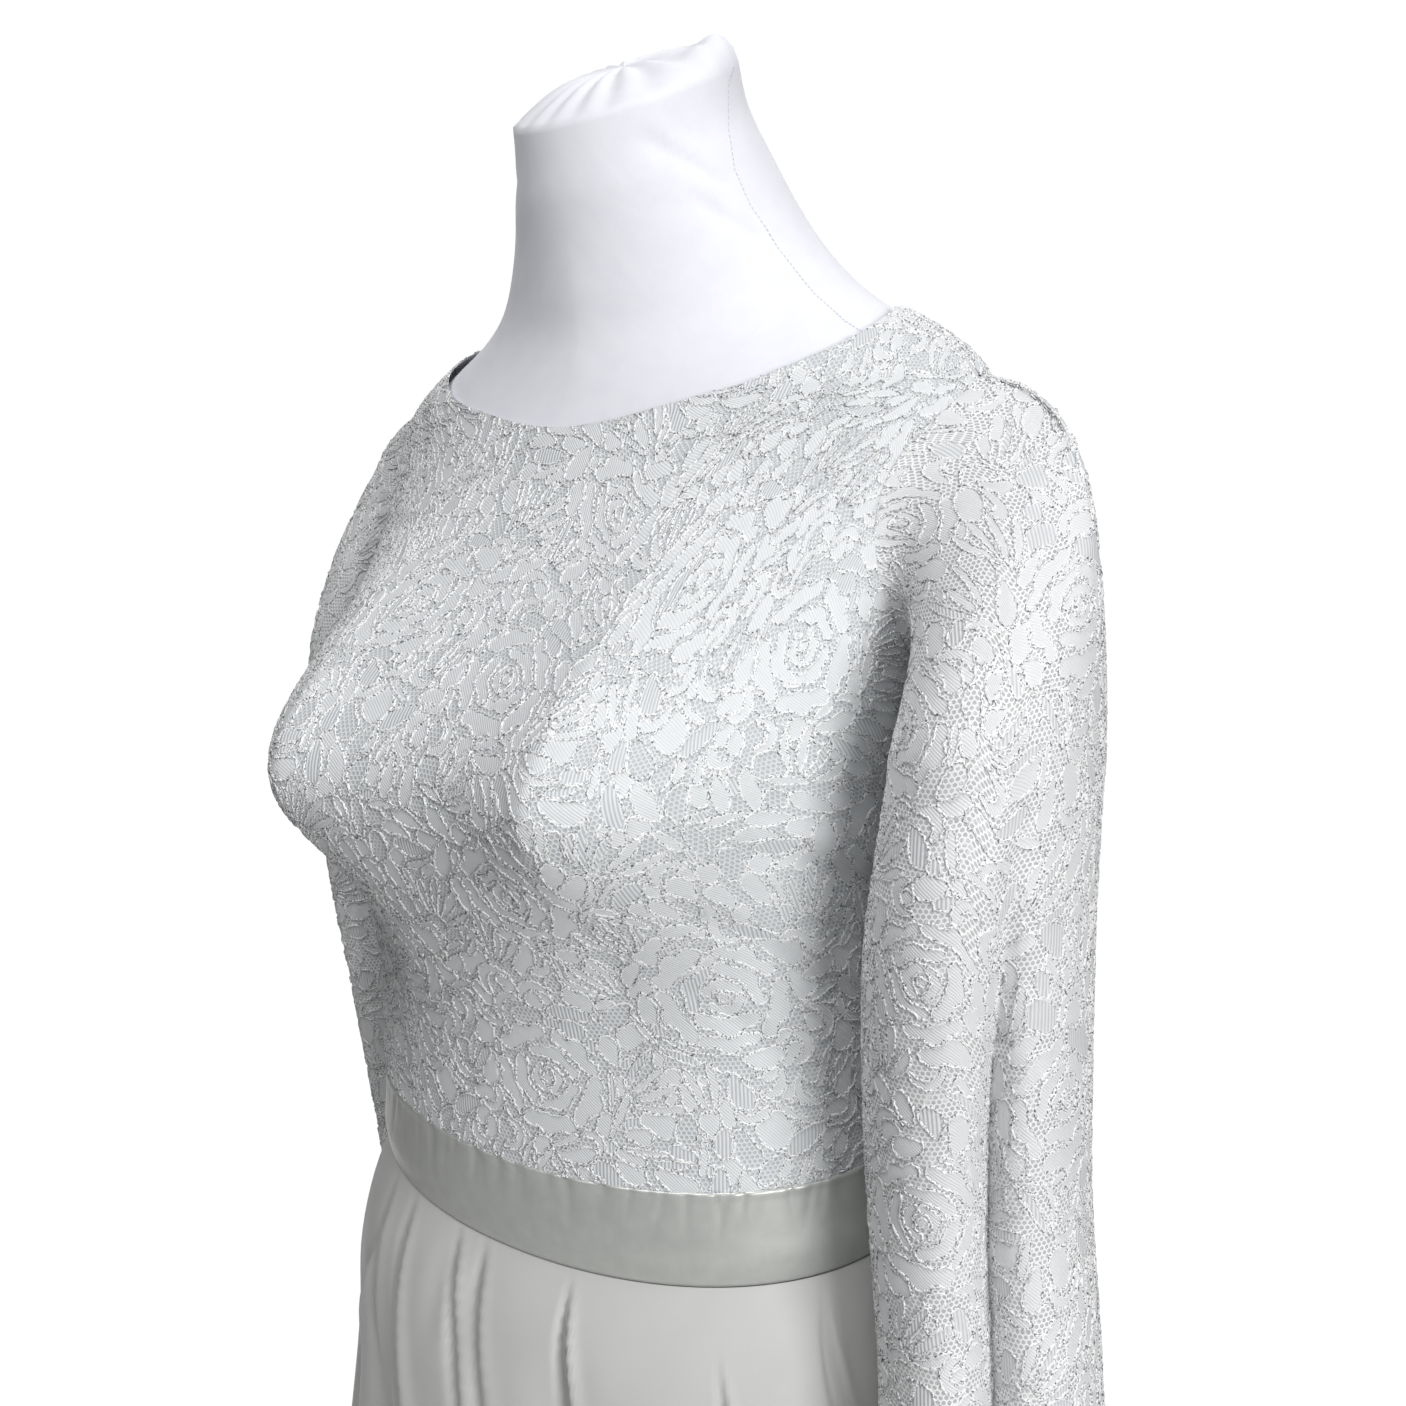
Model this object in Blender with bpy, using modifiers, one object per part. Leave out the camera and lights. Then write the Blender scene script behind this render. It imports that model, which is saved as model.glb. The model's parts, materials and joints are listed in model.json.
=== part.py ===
"""A long-sleeved lace party dress standing on a limbless dress form.

Metres, +Z up. The front faces -Y and the wearer's left side is +X, as if a
wearer looked along -Y. The floor is z = 0 and the stand's axis is the Z axis.
Every cloth piece is one wall over a shared reference surface, with narrow
gaps at the seams where the maker would sew the pieces together.
"""

from collections import namedtuple
from math import cos, exp, pi, radians, sin, sqrt

import bmesh
import bpy
from mathutils import Matrix, Vector

# Heights above the floor
HEM_Z = 0.040
FORM_FOOT_Z = 0.800
BAND_BOTTOM_Z = 1.005
BAND_TOP_Z = 1.050
UNDERARM_Z = 1.266
SHOULDER_TIP_Z = 1.398
NECK_POINT_Z = 1.431
NECK_FRONT_Z = 1.383
NECK_BACK_Z = 1.407
CUFF_Z = 0.805

# Cloth walls and clearances
LACE_WALL = 0.0016
SLEEVE_WALL = 0.0012
BAND_WALL = 0.0020
SKIRT_WALL = 0.0013
SEAM_HALF = 0.00022
ARMHOLE_SEAM_TOP = 0.0016
ARMHOLE_SEAM_FOOT = 0.0052
SKIRT_TOP_DROP = 0.0011
FORM_GAP = 0.0034
FORM_GAP_SHOULDER = 0.0028
SIDE_SEAM_SHARE = 1.4

# Centre-back zip
ZIP_WIDTH = 0.0024
ZIP_SIDE_GAP = 0.0003
ZIP_BELOW_BAND = 0.160
ZIP_FOOT_CLOSES = 0.008
SLIDER_BELOW_TOP = 0.012
SLIDER_LIFT = 0.0003
SLIDER_HALF = (0.0030, 0.0007, 0.0045)
SLIDER_CORNER = 0.0012
BRIDGE_HALF_WIDTH = 0.0009
BRIDGE_OUTER = (-0.0033, 0.0033, 0.0010, 0.0042)
BRIDGE_WINDOW = (-0.0023, 0.0023, 0.0014, 0.0032)
PULL_AXIS = (0.0023, -0.0015)
PULL_THICK = 0.0010
PULL_BAR = 0.0005
PULL_EYE_HALF = 0.0013
PULL_EYE_LONG = 0.0038
PULL_HALF_TOP = 0.0023
PULL_HALF_FOOT = 0.0032
PULL_LENGTH = 0.0230
PULL_SHOULDER = 0.0058
PULL_TIP_STEPS = 8

# Bust cups, with the lined front stretched almost straight between them
BUST_X = 0.075
BUST_Z = 1.238
BUST_REACH = 0.085
BUST_BRIDGE = 0.74
BUST_OUTER = 0.074
BUST_UP = 0.072
BUST_DOWN = 0.070
BUST_DOWN_MORE = 0.022
BUST_FADE_FROM = -0.2
BUST_FADE_OVER = 0.5
FORM_BUST = 0.72

# How far the armhole bites into the front and back, as turns of the section
ARMHOLE_FRONT = 30.0
ARMHOLE_BACK = 24.0
ARMHOLE_FULLNESS = 0.8
ARMHOLE_MARGIN = 0.02
NECK_CURVE_FRONT = 1.5
NECK_CURVE_BACK = 2.2

# The slope of the neck's top: it rises towards the back
NECK_TILT = 0.40
NECK_TILT_FROM_Z = 1.455
NECK_RIM_Z = 1.540
NECK_CAP_RISE = 0.012
NECK_CAP_RINGS = ((0.93, 0.45), (0.75, 0.80), (0.40, 1.00))

# Stand
POLE_RADIUS = 0.014
BASE_RADIUS = 0.165
BASE_THICK = 0.014
BASE_BEVEL = 0.004
POLE_GAP = 0.0003

# How finely each wall is divided
FRONT_COLUMNS = 24
BACK_COLUMNS = 11
BODICE_ROWS = 16
FORM_COLUMNS = 40
SLEEVE_COLUMNS = 20
BAND_COLUMNS = 24
SKIRT_COLUMNS = 46
ZIP_ROWS = 24
POLE_SIDES = 20
BASE_SIDES = 40
SHARP_ANGLE = 50.0
TURN_STEP = 0.004
ROW_STEP = 0.002

Level = namedtuple("Level", "height half_width middle_y front back front_power back_power")

# Level sections of the torso, from the hips up to the rim of the neck. A power
# of 2 is an ellipse, less is more pointed at the sides and more is squarer.
TORSO = [
    Level(0.800, 0.166, -0.004, 0.112, 0.120, 2.0, 2.0),
    Level(0.860, 0.170, -0.006, 0.116, 0.122, 2.0, 2.0),
    Level(0.930, 0.165, -0.014, 0.112, 0.118, 2.0, 2.0),
    Level(1.005, 0.1550, -0.029, 0.1110, 0.110, 2.1, 2.1),
    Level(1.050, 0.1530, -0.029, 0.1095, 0.109, 2.1, 2.1),
    Level(1.095, 0.1520, -0.026, 0.1085, 0.109, 2.1, 2.1),
    Level(1.140, 0.1525, -0.020, 0.1075, 0.110, 2.1, 2.1),
    Level(1.190, 0.1545, -0.011, 0.1055, 0.110, 2.1, 2.1),
    Level(1.240, 0.1590, -0.005, 0.1040, 0.109, 2.1, 2.2),
    Level(1.285, 0.1645, 0.001, 0.0990, 0.106, 2.1, 2.2),
    Level(1.320, 0.1700, 0.006, 0.0920, 0.101, 2.1, 2.2),
    Level(1.350, 0.1745, 0.011, 0.0845, 0.095, 2.0, 2.2),
    Level(1.374, 0.1760, 0.015, 0.0790, 0.089, 1.9, 2.2),
    Level(1.393, 0.1730, 0.019, 0.0760, 0.083, 1.8, 2.2),
    Level(1.408, 0.1620, 0.023, 0.0765, 0.077, 1.65, 2.2),
    Level(1.420, 0.1450, 0.027, 0.0785, 0.071, 1.6, 2.2),
    Level(1.431, 0.1260, 0.029, 0.0800, 0.067, 1.6, 2.2),
    Level(1.443, 0.1080, 0.029, 0.0810, 0.063, 1.65, 2.15),
    Level(1.458, 0.0930, 0.026, 0.0790, 0.060, 1.75, 2.1),
    Level(1.477, 0.0790, 0.019, 0.0740, 0.060, 1.85, 2.05),
    Level(1.498, 0.0685, 0.010, 0.0670, 0.058, 1.95, 2.0),
    Level(1.520, 0.0600, 0.001, 0.0590, 0.055, 2.0, 2.0),
    Level(NECK_RIM_Z, 0.0580, -0.004, 0.0550, 0.055, 2.0, 2.0),
]

Flare = namedtuple("Flare", "below half_width middle_y front back front_power back_power flute")

# Sections of the skirt by depth below the band, and how deep a full flute is
SKIRT = [
    Flare(0.000, 0.1550, -0.029, 0.111, 0.110, 2.1, 2.1, 0.000),
    Flare(0.025, 0.1620, -0.029, 0.128, 0.118, 2.1, 2.1, 0.002),
    Flare(0.060, 0.1700, -0.027, 0.140, 0.127, 2.1, 2.1, 0.004),
    Flare(0.110, 0.1800, -0.023, 0.151, 0.138, 2.0, 2.0, 0.007),
    Flare(0.180, 0.1950, -0.018, 0.165, 0.153, 2.0, 2.0, 0.011),
    Flare(0.280, 0.2170, -0.013, 0.187, 0.176, 2.0, 2.0, 0.017),
    Flare(0.420, 0.2480, -0.008, 0.219, 0.209, 2.0, 2.0, 0.024),
    Flare(0.600, 0.2880, -0.004, 0.260, 0.252, 2.0, 2.0, 0.032),
    Flare(0.800, 0.3300, 0.000, 0.303, 0.300, 2.0, 2.0, 0.041),
    Flare(0.965, 0.3640, 0.000, 0.338, 0.338, 2.0, 2.0, 0.048),
]

# Depths of the skirt's rows of points, close together beside the zip's foot
SKIRT_ROWS = [0.0, 0.022, 0.050, 0.085, 0.125, 0.160, 0.168, 0.250, 0.370, 0.520, 0.720,
              BAND_BOTTOM_Z - SKIRT_TOP_DROP - HEM_Z]

Flute = namedtuple("Flute", "angle width starts full fades depth")

# Troughs of the skirt: their turn from the centre front towards the wearer's
# left, their width in degrees, and where below the band each starts, reaches
# its full depth and fades again. The last column scales the depth. A long
# trough never fades.
LONG = 9.0
FLUTES = [
    Flute(-2.5, 3.0, 0.000, 0.015, 0.075, 0.9),
    Flute(-9.5, 3.0, 0.000, 0.012, 0.060, 0.9),
    Flute(16.0, 4.5, 0.006, 0.060, LONG, 1.00),
    Flute(43.0, 6.5, 0.060, 0.240, LONG, 1.00),
    Flute(68.0, 7.0, 0.020, 0.300, LONG, 0.85),
    Flute(93.0, 7.5, 0.015, 0.260, LONG, 1.00),
    Flute(117.0, 7.0, 0.030, 0.340, LONG, 0.90),
    Flute(141.0, 6.5, 0.010, 0.220, LONG, 1.05),
    Flute(164.0, 6.0, 0.040, 0.300, LONG, 0.85),
    Flute(188.0, 6.5, 0.020, 0.240, LONG, 1.00),
    Flute(213.0, 7.0, 0.015, 0.320, LONG, 0.95),
    Flute(238.0, 7.0, 0.050, 0.280, LONG, 0.90),
    Flute(262.0, 7.5, 0.020, 0.260, LONG, 1.05),
    Flute(289.0, 6.5, 0.030, 0.300, LONG, 0.85),
    Flute(316.0, 5.0, 0.006, 0.130, LONG, 0.95),
    Flute(336.0, 4.5, 0.006, 0.120, LONG, 0.90),
    Flute(356.0, 6.0, 0.110, 0.360, LONG, 0.85),
]

Hang = namedtuple("Hang", "height centre_x centre_y half_x half_y valley")

# Sections of the hanging sleeves below the cap: centre, half sizes and how
# deep the long soft valley down the outer front is. The wearer's right sleeve
# lies closer to the skirt and body than the left one.
LEFT_SLEEVE = [
    Hang(1.240, 0.2060, -0.036, 0.0380, 0.0630, 0.000),
    Hang(1.205, 0.2045, -0.042, 0.0400, 0.0640, 0.001),
    Hang(1.165, 0.2025, -0.046, 0.0430, 0.0620, 0.004),
    Hang(1.110, 0.2025, -0.048, 0.0440, 0.0600, 0.009),
    Hang(1.050, 0.2045, -0.050, 0.0440, 0.0580, 0.013),
    Hang(0.985, 0.2120, -0.056, 0.0440, 0.0580, 0.014),
    Hang(0.920, 0.2200, -0.069, 0.0450, 0.0580, 0.013),
    Hang(0.860, 0.2280, -0.082, 0.0440, 0.0560, 0.011),
    Hang(CUFF_Z, 0.2360, -0.093, 0.0430, 0.0540, 0.009),
]
RIGHT_SLEEVE = [
    Hang(1.240, 0.1980, -0.004, 0.0290, 0.0600, 0.000),
    Hang(1.205, 0.1990, -0.004, 0.0300, 0.0600, 0.001),
    Hang(1.165, 0.2000, -0.004, 0.0300, 0.0590, 0.003),
    Hang(1.110, 0.2000, -0.003, 0.0300, 0.0570, 0.006),
    Hang(1.050, 0.2010, 0.002, 0.0290, 0.0550, 0.009),
    Hang(0.985, 0.2070, 0.011, 0.0290, 0.0540, 0.010),
    Hang(0.920, 0.2160, 0.021, 0.0290, 0.0530, 0.010),
    Hang(0.860, 0.2260, 0.028, 0.0290, 0.0520, 0.009),
    Hang(CUFF_Z, 0.2360, 0.033, 0.0290, 0.0510, 0.008),
]

# How full a flute's ridges and troughs are, as shares of the section's flute
RIDGE_SHARE = 0.35
TROUGH_SHARE = 1.30

# The valley down each sleeve, and how the cap leaves the armhole and falls
VALLEY_TURN = 132.0
VALLEY_WIDTH = 17.0
SLEEVE_RINGS_PER_LEVEL = 2
CAP_RINGS = 6
CAP_PUSH_TOP = 0.066
CAP_PUSH_BOTTOM = 0.014
CAP_FALL = 0.075
CAP_FALL_FOOT = 0.25
CAP_OUT = 1.2
CAP_OUT_AT_SIDES = 0.4
CAP_DROP = 0.12
CAP_LOOK_IN = 0.010

ROUND_TURN = 2 * pi


def clear_scene():
    """Remove whatever the file opened with."""
    for old in list(bpy.data.objects):
        bpy.data.objects.remove(old, do_unlink=True)


def blend_rows(rows, place):
    """Return a smooth mix of a table's rows at a fractional row number."""
    place = min(max(place, 0.0), len(rows) - 1.0)
    here = min(int(place), len(rows) - 2)
    t = place - here
    before = rows[max(here - 1, 0)]
    after = rows[min(here + 2, len(rows) - 1)]
    mixed = []
    for p0, p1, p2, p3 in zip(before, rows[here], rows[here + 1], after):
        curve = 2 * p0 - 5 * p1 + 4 * p2 - p3
        twist = 3 * p1 - p0 - 3 * p2 + p3
        mixed.append(0.5 * (2 * p1 + (p2 - p0) * t + curve * t ** 2 + twist * t ** 3))
    return type(rows[0])(*mixed)


def place_of(rows, value):
    """Return the fractional row number where a table's first column has a value."""
    low, high = 0.0, len(rows) - 1.0
    rising = rows[-1][0] > rows[0][0]
    for _ in range(48):
        middle = 0.5 * (low + high)
        if (blend_rows(rows, middle)[0] < value) == rising:
            low = middle
        else:
            high = middle
    return 0.5 * (low + high)


def ease(t):
    """Return a soft step from 0 to 1."""
    t = min(max(t, 0.0), 1.0)
    return t * t * (3 - 2 * t)


def bump(distance, width):
    """Return a bell curve that is 1 at no distance."""
    return exp(-(distance / width) ** 2)


def signed_power(value, power):
    """Return a power of a number that keeps its sign."""
    return abs(value) ** power * (1 if value >= 0 else -1)


def section_point(row, turn):
    """Return x and y on a level section, turned from the front to the left."""
    ahead = cos(turn) > 0
    deep = row.front if ahead else row.back
    power = 2.0 / (row.front_power if ahead else row.back_power)
    x = row.half_width * signed_power(sin(turn), power)
    y = row.middle_y - deep * signed_power(cos(turn), power)
    return x, y


def torso_point(turn, place, bust=1.0):
    """Return a point of the torso's surface, bust and neck slope included."""
    row = blend_rows(TORSO, place)
    x, y = section_point(row, turn)
    z = row.height
    if cos(turn) > BUST_FADE_FROM:
        from_apex = abs(x) - BUST_X
        bridge = BUST_BRIDGE + (1 - BUST_BRIDGE) * (x / BUST_X) ** 2
        side = bump(from_apex, BUST_OUTER) if from_apex > 0 else bridge
        down = BUST_DOWN + BUST_DOWN_MORE * max(0.0, 1 - (x / BUST_X) ** 2)
        tall = bump(z - BUST_Z, BUST_UP if z > BUST_Z else down)
        y -= bust * BUST_REACH * side * tall * ease((cos(turn) - BUST_FADE_FROM) / BUST_FADE_OVER)
    rise = ease((z - NECK_TILT_FROM_Z) / (NECK_RIM_Z - NECK_TILT_FROM_Z))
    return Vector((x, y, z + NECK_TILT * rise * y))


def surface_normal(surface, turn, place):
    """Return the outward normal of a surface given by two parameters."""
    across = surface(turn + ROW_STEP, place) - surface(turn - ROW_STEP, place)
    up = surface(turn, place + ROW_STEP) - surface(turn, place - ROW_STEP)
    return across.cross(up).normalized()


WAIST_PLACE = place_of(TORSO, BAND_TOP_Z + SEAM_HALF)
UNDERARM_PLACE = place_of(TORSO, UNDERARM_Z)
TIP_PLACE = place_of(TORSO, SHOULDER_TIP_Z)
NECK_POINT_PLACE = place_of(TORSO, NECK_POINT_Z)


def armhole_turn(place, bite):
    """Return how far round the armhole or seam lies at a height, in radians."""
    along = (place - UNDERARM_PLACE) / (TIP_PLACE - UNDERARM_PLACE)
    if along <= 0 or along >= 1:
        return pi / 2
    return pi / 2 - radians(bite) * sin(pi * along) ** ARMHOLE_FULLNESS


def neckline_place(across, lowest_z, curve):
    """Return how high the neckline lies, from 0 at the centre to 1 at the seam."""
    lowest = place_of(TORSO, lowest_z)
    rise = 1 - cos(abs(across) * pi / 2) ** curve
    return lowest + (NECK_POINT_PLACE - lowest) * rise


def turn_for(distance, turn, place):
    """Return how much turn makes a distance along a level of the torso."""
    run = (torso_point(turn + TURN_STEP, place) - torso_point(turn - TURN_STEP, place)).length
    return 2 * TURN_STEP * distance / max(run, 1e-6)


def seam_turn(place, bite, back):
    """Return the turn of a panel's side edge, drawn in by half a seam gap."""
    edge = armhole_turn(place, bite)
    whole = pi - edge if back else edge
    return edge - turn_for(SEAM_HALF, whole, place)


def bodice_point(across, up, back):
    """Return a point of the bodice, across from -1 to 1 and up from 0 to 1."""
    lowest = NECK_BACK_Z if back else NECK_FRONT_Z
    curve = NECK_CURVE_BACK if back else NECK_CURVE_FRONT
    bite = ARMHOLE_BACK if back else ARMHOLE_FRONT
    top = neckline_place(across, lowest, curve)
    place = WAIST_PLACE + up * (top - WAIST_PLACE)
    turn = across * seam_turn(place, bite, back)
    if back:
        turn = pi - turn
    return torso_point(turn, place)


def skirt_point(turn, below):
    """Return a point of the skirt's inner surface at a depth below the band."""
    row = blend_rows(SKIRT, place_of(SKIRT, below))
    x, y = section_point(row, turn)
    inward = 0.0
    for flute in FLUTES:
        apart = (turn - radians(flute.angle) + pi) % ROUND_TURN - pi
        open_by = ease((below - flute.starts) / (flute.full - flute.starts))
        shut_by = 1 - ease((below - flute.full) / max(flute.fades - flute.full, 1e-6))
        inward += flute.depth * open_by * shut_by * bump(apart, radians(flute.width))
    outward = Vector((x, y - row.middle_y, 0)).normalized()
    z = BAND_BOTTOM_Z - SKIRT_TOP_DROP - below
    return Vector((x, y, z)) + outward * row.flute * (RIDGE_SHARE - TROUGH_SHARE * inward)


def collect(name):
    """Return a new collection that is linked to the scene."""
    group = bpy.data.collections.new(name)
    bpy.context.scene.collection.children.link(group)
    return group


def finish(name, colour, rough, metallic=0.0):
    """Return a plain material with a colour, roughness and metallic value."""
    material = bpy.data.materials.new(name)
    material.use_nodes = True
    shader = material.node_tree.nodes["Principled BSDF"]
    shader.inputs["Base Color"].default_value = (*colour, 1.0)
    shader.inputs["Roughness"].default_value = rough
    shader.inputs["Metallic"].default_value = metallic
    return material


def add_object(name, mesh, group, material):
    """Return a new object of a mesh, shaded smooth but for its sharp edges."""
    mesh.materials.append(material)
    mesh.shade_smooth()
    mesh.set_sharp_from_angle(angle=radians(SHARP_ANGLE))
    item = bpy.data.objects.new(name, mesh)
    group.objects.link(item)
    return item


def thicken(item, wall):
    """Give an open surface its wall, outwards from the surface."""
    solid = item.modifiers.new("wall", "SOLIDIFY")
    solid.thickness = wall
    solid.offset = 1.0
    solid.use_quality_normals = True
    return item


def panel(name, point, columns, rows, wall, group, material):
    """Return a four-sided cloth panel: a grid laid on a surface, with a wall."""
    bm = bmesh.new()
    bmesh.ops.create_grid(bm, x_segments=columns, y_segments=rows, size=1.0)
    for vertex in bm.verts:
        vertex.co = point(vertex.co.x, 0.5 * (vertex.co.y + 1))
    mesh = bpy.data.meshes.new(name)
    bm.to_mesh(mesh)
    bm.free()
    return thicken(add_object(name, mesh, group, material), wall)


def loft(bm, rings):
    """Join closed rings of points, listed from the bottom up, with faces."""
    loops = [[bm.verts.new(point) for point in ring] for ring in rings]
    count = len(loops[0])
    for low, high in zip(loops, loops[1:]):
        for i in range(count):
            j = (i + 1) % count
            bm.faces.new((low[i], low[j], high[j], high[i]))
    return loops


def make_bodice(group, material):
    """Make the bodice front and the two halves of its back."""
    def front(across, up):
        return bodice_point(across, up, False)

    panel("bodice_front", front, FRONT_COLUMNS, BODICE_ROWS, LACE_WALL, group, material)
    for name, side in (("bodice_back_left", 1), ("bodice_back_right", -1)):
        def back(across, up, side=side):
            spot = bodice_point(0.5 * (across + side), up, True)
            spot.x = side * max(side * spot.x, ZIP_WIDTH / 2 + ZIP_SIDE_GAP)
            return spot

        item = panel(name, back, BACK_COLUMNS, BODICE_ROWS, LACE_WALL, group, material)
        flip_inside_out(item)


def flip_inside_out(item):
    """Turn a panel's faces over, so that its wall grows outwards."""
    bm = bmesh.new()
    bm.from_mesh(item.data)
    bmesh.ops.reverse_faces(bm, faces=bm.faces)
    bm.to_mesh(item.data)
    bm.free()


def armhole_point(turn, seam):
    """Return a point of the armhole: 0 under the arm, a half turn at the tip."""
    along = ARMHOLE_MARGIN + (1 - 2 * ARMHOLE_MARGIN) * 0.5 * (1 - cos(turn))
    place = UNDERARM_PLACE + along * (TIP_PLACE - UNDERARM_PLACE)
    back = sin(turn) < 0
    edge = armhole_turn(place, ARMHOLE_BACK if back else ARMHOLE_FRONT)
    whole = pi - edge if back else edge
    side = -1 if back else 1
    return torso_point(whole + side * turn_for(seam, whole, place), place)


def sleeve_section(levels, place, turn):
    """Return a point of the hanging sleeve: 0 next to the body, then its front."""
    row = blend_rows(levels, place)
    apart = (turn - radians(VALLEY_TURN) + pi) % ROUND_TURN - pi
    pinch = row.valley * bump(apart, radians(VALLEY_WIDTH))
    out = Vector((-row.half_x * cos(turn), -row.half_y * sin(turn), 0))
    out -= out.normalized() * pinch
    return Vector((row.centre_x, row.centre_y, row.height)) + out


def cap_point(levels, turn, along):
    """Return a point of the sleeve cap, from the armhole down to the first ring."""
    top = 0.5 * (1 - cos(turn))
    seam = ARMHOLE_SEAM_FOOT + (ARMHOLE_SEAM_TOP - ARMHOLE_SEAM_FOOT) * top
    start = armhole_point(turn, seam)
    end = sleeve_section(levels, 0, turn)
    push = CAP_PUSH_BOTTOM + (CAP_PUSH_TOP - CAP_PUSH_BOTTOM) * top
    sideways = abs(sin(turn))
    seam_run = (start - armhole_point(turn, -CAP_LOOK_IN)).normalized() * sideways
    out = CAP_OUT + (CAP_OUT_AT_SIDES - CAP_OUT) * sideways
    leave = (seam_run + Vector((out, 0, -CAP_DROP * top))).normalized() * push
    arrive = Vector((0, 0, -CAP_FALL * (CAP_FALL_FOOT + (1 - CAP_FALL_FOOT) * top)))
    a = start + leave
    b = end - arrive
    s = 1 - along
    return start * s ** 3 + a * 3 * s * s * along + b * 3 * s * along ** 2 + end * along ** 3


def make_sleeve(name, levels, side, group, material):
    """Make one sleeve: a cap from the armhole, then a long open tube."""
    rings = []
    turns = [ROUND_TURN * i / SLEEVE_COLUMNS for i in range(SLEEVE_COLUMNS)]
    rows = (len(levels) - 1) * SLEEVE_RINGS_PER_LEVEL
    for k in range(rows, 0, -1):
        place = k / SLEEVE_RINGS_PER_LEVEL
        rings.append([sleeve_section(levels, place, turn) for turn in turns])
    for k in range(CAP_RINGS, -1, -1):
        rings.append([cap_point(levels, turn, k / CAP_RINGS) for turn in turns])
    if side < 0:
        rings = [[Vector((-p.x, p.y, p.z)) for p in reversed(ring)] for ring in rings]
    bm = bmesh.new()
    loft(bm, rings)
    mesh = bpy.data.meshes.new(name)
    bm.to_mesh(mesh)
    bm.free()
    thicken(add_object(name, mesh, group, material), SLEEVE_WALL)


def band_point(turn, up):
    """Return a point of the waistband's inner surface."""
    z = BAND_BOTTOM_Z + SEAM_HALF + up * (BAND_TOP_Z - BAND_BOTTOM_Z - 2 * SEAM_HALF)
    return torso_point(turn, place_of(TORSO, z))


def make_waistband(group, material):
    """Make the waistband's front and the two halves of its back."""
    side_turn = SIDE_SEAM_SHARE * SEAM_HALF / SKIRT[0].half_width

    def front(across, up):
        return band_point(across * (pi / 2 - side_turn), up)

    panel("waistband_front", front, BAND_COLUMNS, 2, BAND_WALL, group, material)
    for name, side in (("waistband_back_left", 1), ("waistband_back_right", -1)):
        def back(across, up, side=side):
            from_side = 0.5 * (across + 1)
            turn = pi / 2 + side_turn + from_side * (pi / 2 - side_turn)
            spot = band_point(turn, up)
            spot.x = max(spot.x, ZIP_WIDTH / 2 + ZIP_SIDE_GAP)
            return Vector((side * spot.x, spot.y, spot.z))

        item = panel(name, back, BAND_COLUMNS // 2, 2, BAND_WALL, group, material)
        if side < 0:
            flip_inside_out(item)


def zip_gap_at(below):
    """Return how far the skirt's back edges stand from the middle at a depth."""
    beside_zip = ZIP_WIDTH / 2 + ZIP_SIDE_GAP
    past = (below - ZIP_BELOW_BAND) / ZIP_FOOT_CLOSES
    return beside_zip + (SEAM_HALF - beside_zip) * ease(past)


def make_skirt(group, material):
    """Make the skirt's front and the two halves of its back."""
    side_turn = SIDE_SEAM_SHARE * SEAM_HALF / SKIRT[0].half_width
    rows = len(SKIRT_ROWS) - 1

    def below_at(up):
        return SKIRT_ROWS[round(rows * (1 - up))]

    def front(across, up):
        return skirt_point(across * (pi / 2 - side_turn), below_at(up))

    panel("skirt_front", front, SKIRT_COLUMNS, rows, SKIRT_WALL, group, material)
    for name, side in (("skirt_back_left", 1), ("skirt_back_right", -1)):
        def back(across, up, side=side):
            from_side = 0.5 * (across + 1)
            turn = side * (pi / 2 + side_turn + from_side * (pi / 2 - side_turn))
            spot = skirt_point(turn, below_at(up))
            spot.x = side * max(side * spot.x, zip_gap_at(below_at(up)))
            return spot

        item = panel(name, back, SKIRT_COLUMNS // 2, rows, SKIRT_WALL, group, material)
        if side < 0:
            flip_inside_out(item)


def back_seam_point(along):
    """Return a point of the zip's line: 0 at its foot, 1 at the back neckline."""
    foot = BAND_BOTTOM_Z - SKIRT_TOP_DROP - ZIP_BELOW_BAND + SEAM_HALF
    z = foot + along * (NECK_BACK_Z - SEAM_HALF - foot)
    if z < BAND_BOTTOM_Z - SKIRT_TOP_DROP:
        return skirt_point(pi, BAND_BOTTOM_Z - SKIRT_TOP_DROP - z)
    return torso_point(pi, place_of(TORSO, z))


def flat_outline(name, corners, holes, half_thick, group, material):
    """Return a filled flat outline with holes, in its own X and Y, as a curve."""
    curve = bpy.data.curves.new(name, "CURVE")
    curve.dimensions = "2D"
    curve.fill_mode = "BOTH"
    curve.extrude = half_thick
    for outline in [corners] + holes:
        spline = curve.splines.new("POLY")
        spline.points.add(len(outline) - 1)
        for point, (x, y) in zip(spline.points, outline):
            point.co = (x, y, 0, 1)
        spline.use_cyclic_u = True
    curve.materials.append(material)
    item = bpy.data.objects.new(name, curve)
    group.objects.link(item)
    return item


def rectangle(low_x, high_x, low_y, high_y):
    """Return a rectangle's corners."""
    return [(low_x, low_y), (high_x, low_y), (high_x, high_y), (low_x, high_y)]


def slider_frame():
    """Return the place of the zip slider: its Y points off the back, Z up the zip."""
    below_top = SLIDER_BELOW_TOP / (NECK_BACK_Z - BAND_BOTTOM_Z + ZIP_BELOW_BAND)
    up = (back_seam_point(1.0) - back_seam_point(1 - 2 * below_top)).normalized()
    across = Vector((1, 0, 0))
    off = up.cross(across).normalized()
    frame = Matrix((across, off, up)).transposed().to_4x4()
    frame.translation = back_seam_point(1 - below_top) + off * (LACE_WALL + SLIDER_LIFT)
    return frame


def make_zip(group, cutters, tape, metal):
    """Make the concealed zip's strip, its slider and the pull that swings on it."""
    def strip(across, up):
        spot = back_seam_point(up)
        spot.x = -across * ZIP_WIDTH / 2
        return spot

    panel("zip_strip", strip, 1, ZIP_ROWS, LACE_WALL, group, tape)
    frame = slider_frame()
    make_slider(frame, group, cutters, metal)
    make_pull(frame, group, metal)


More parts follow.
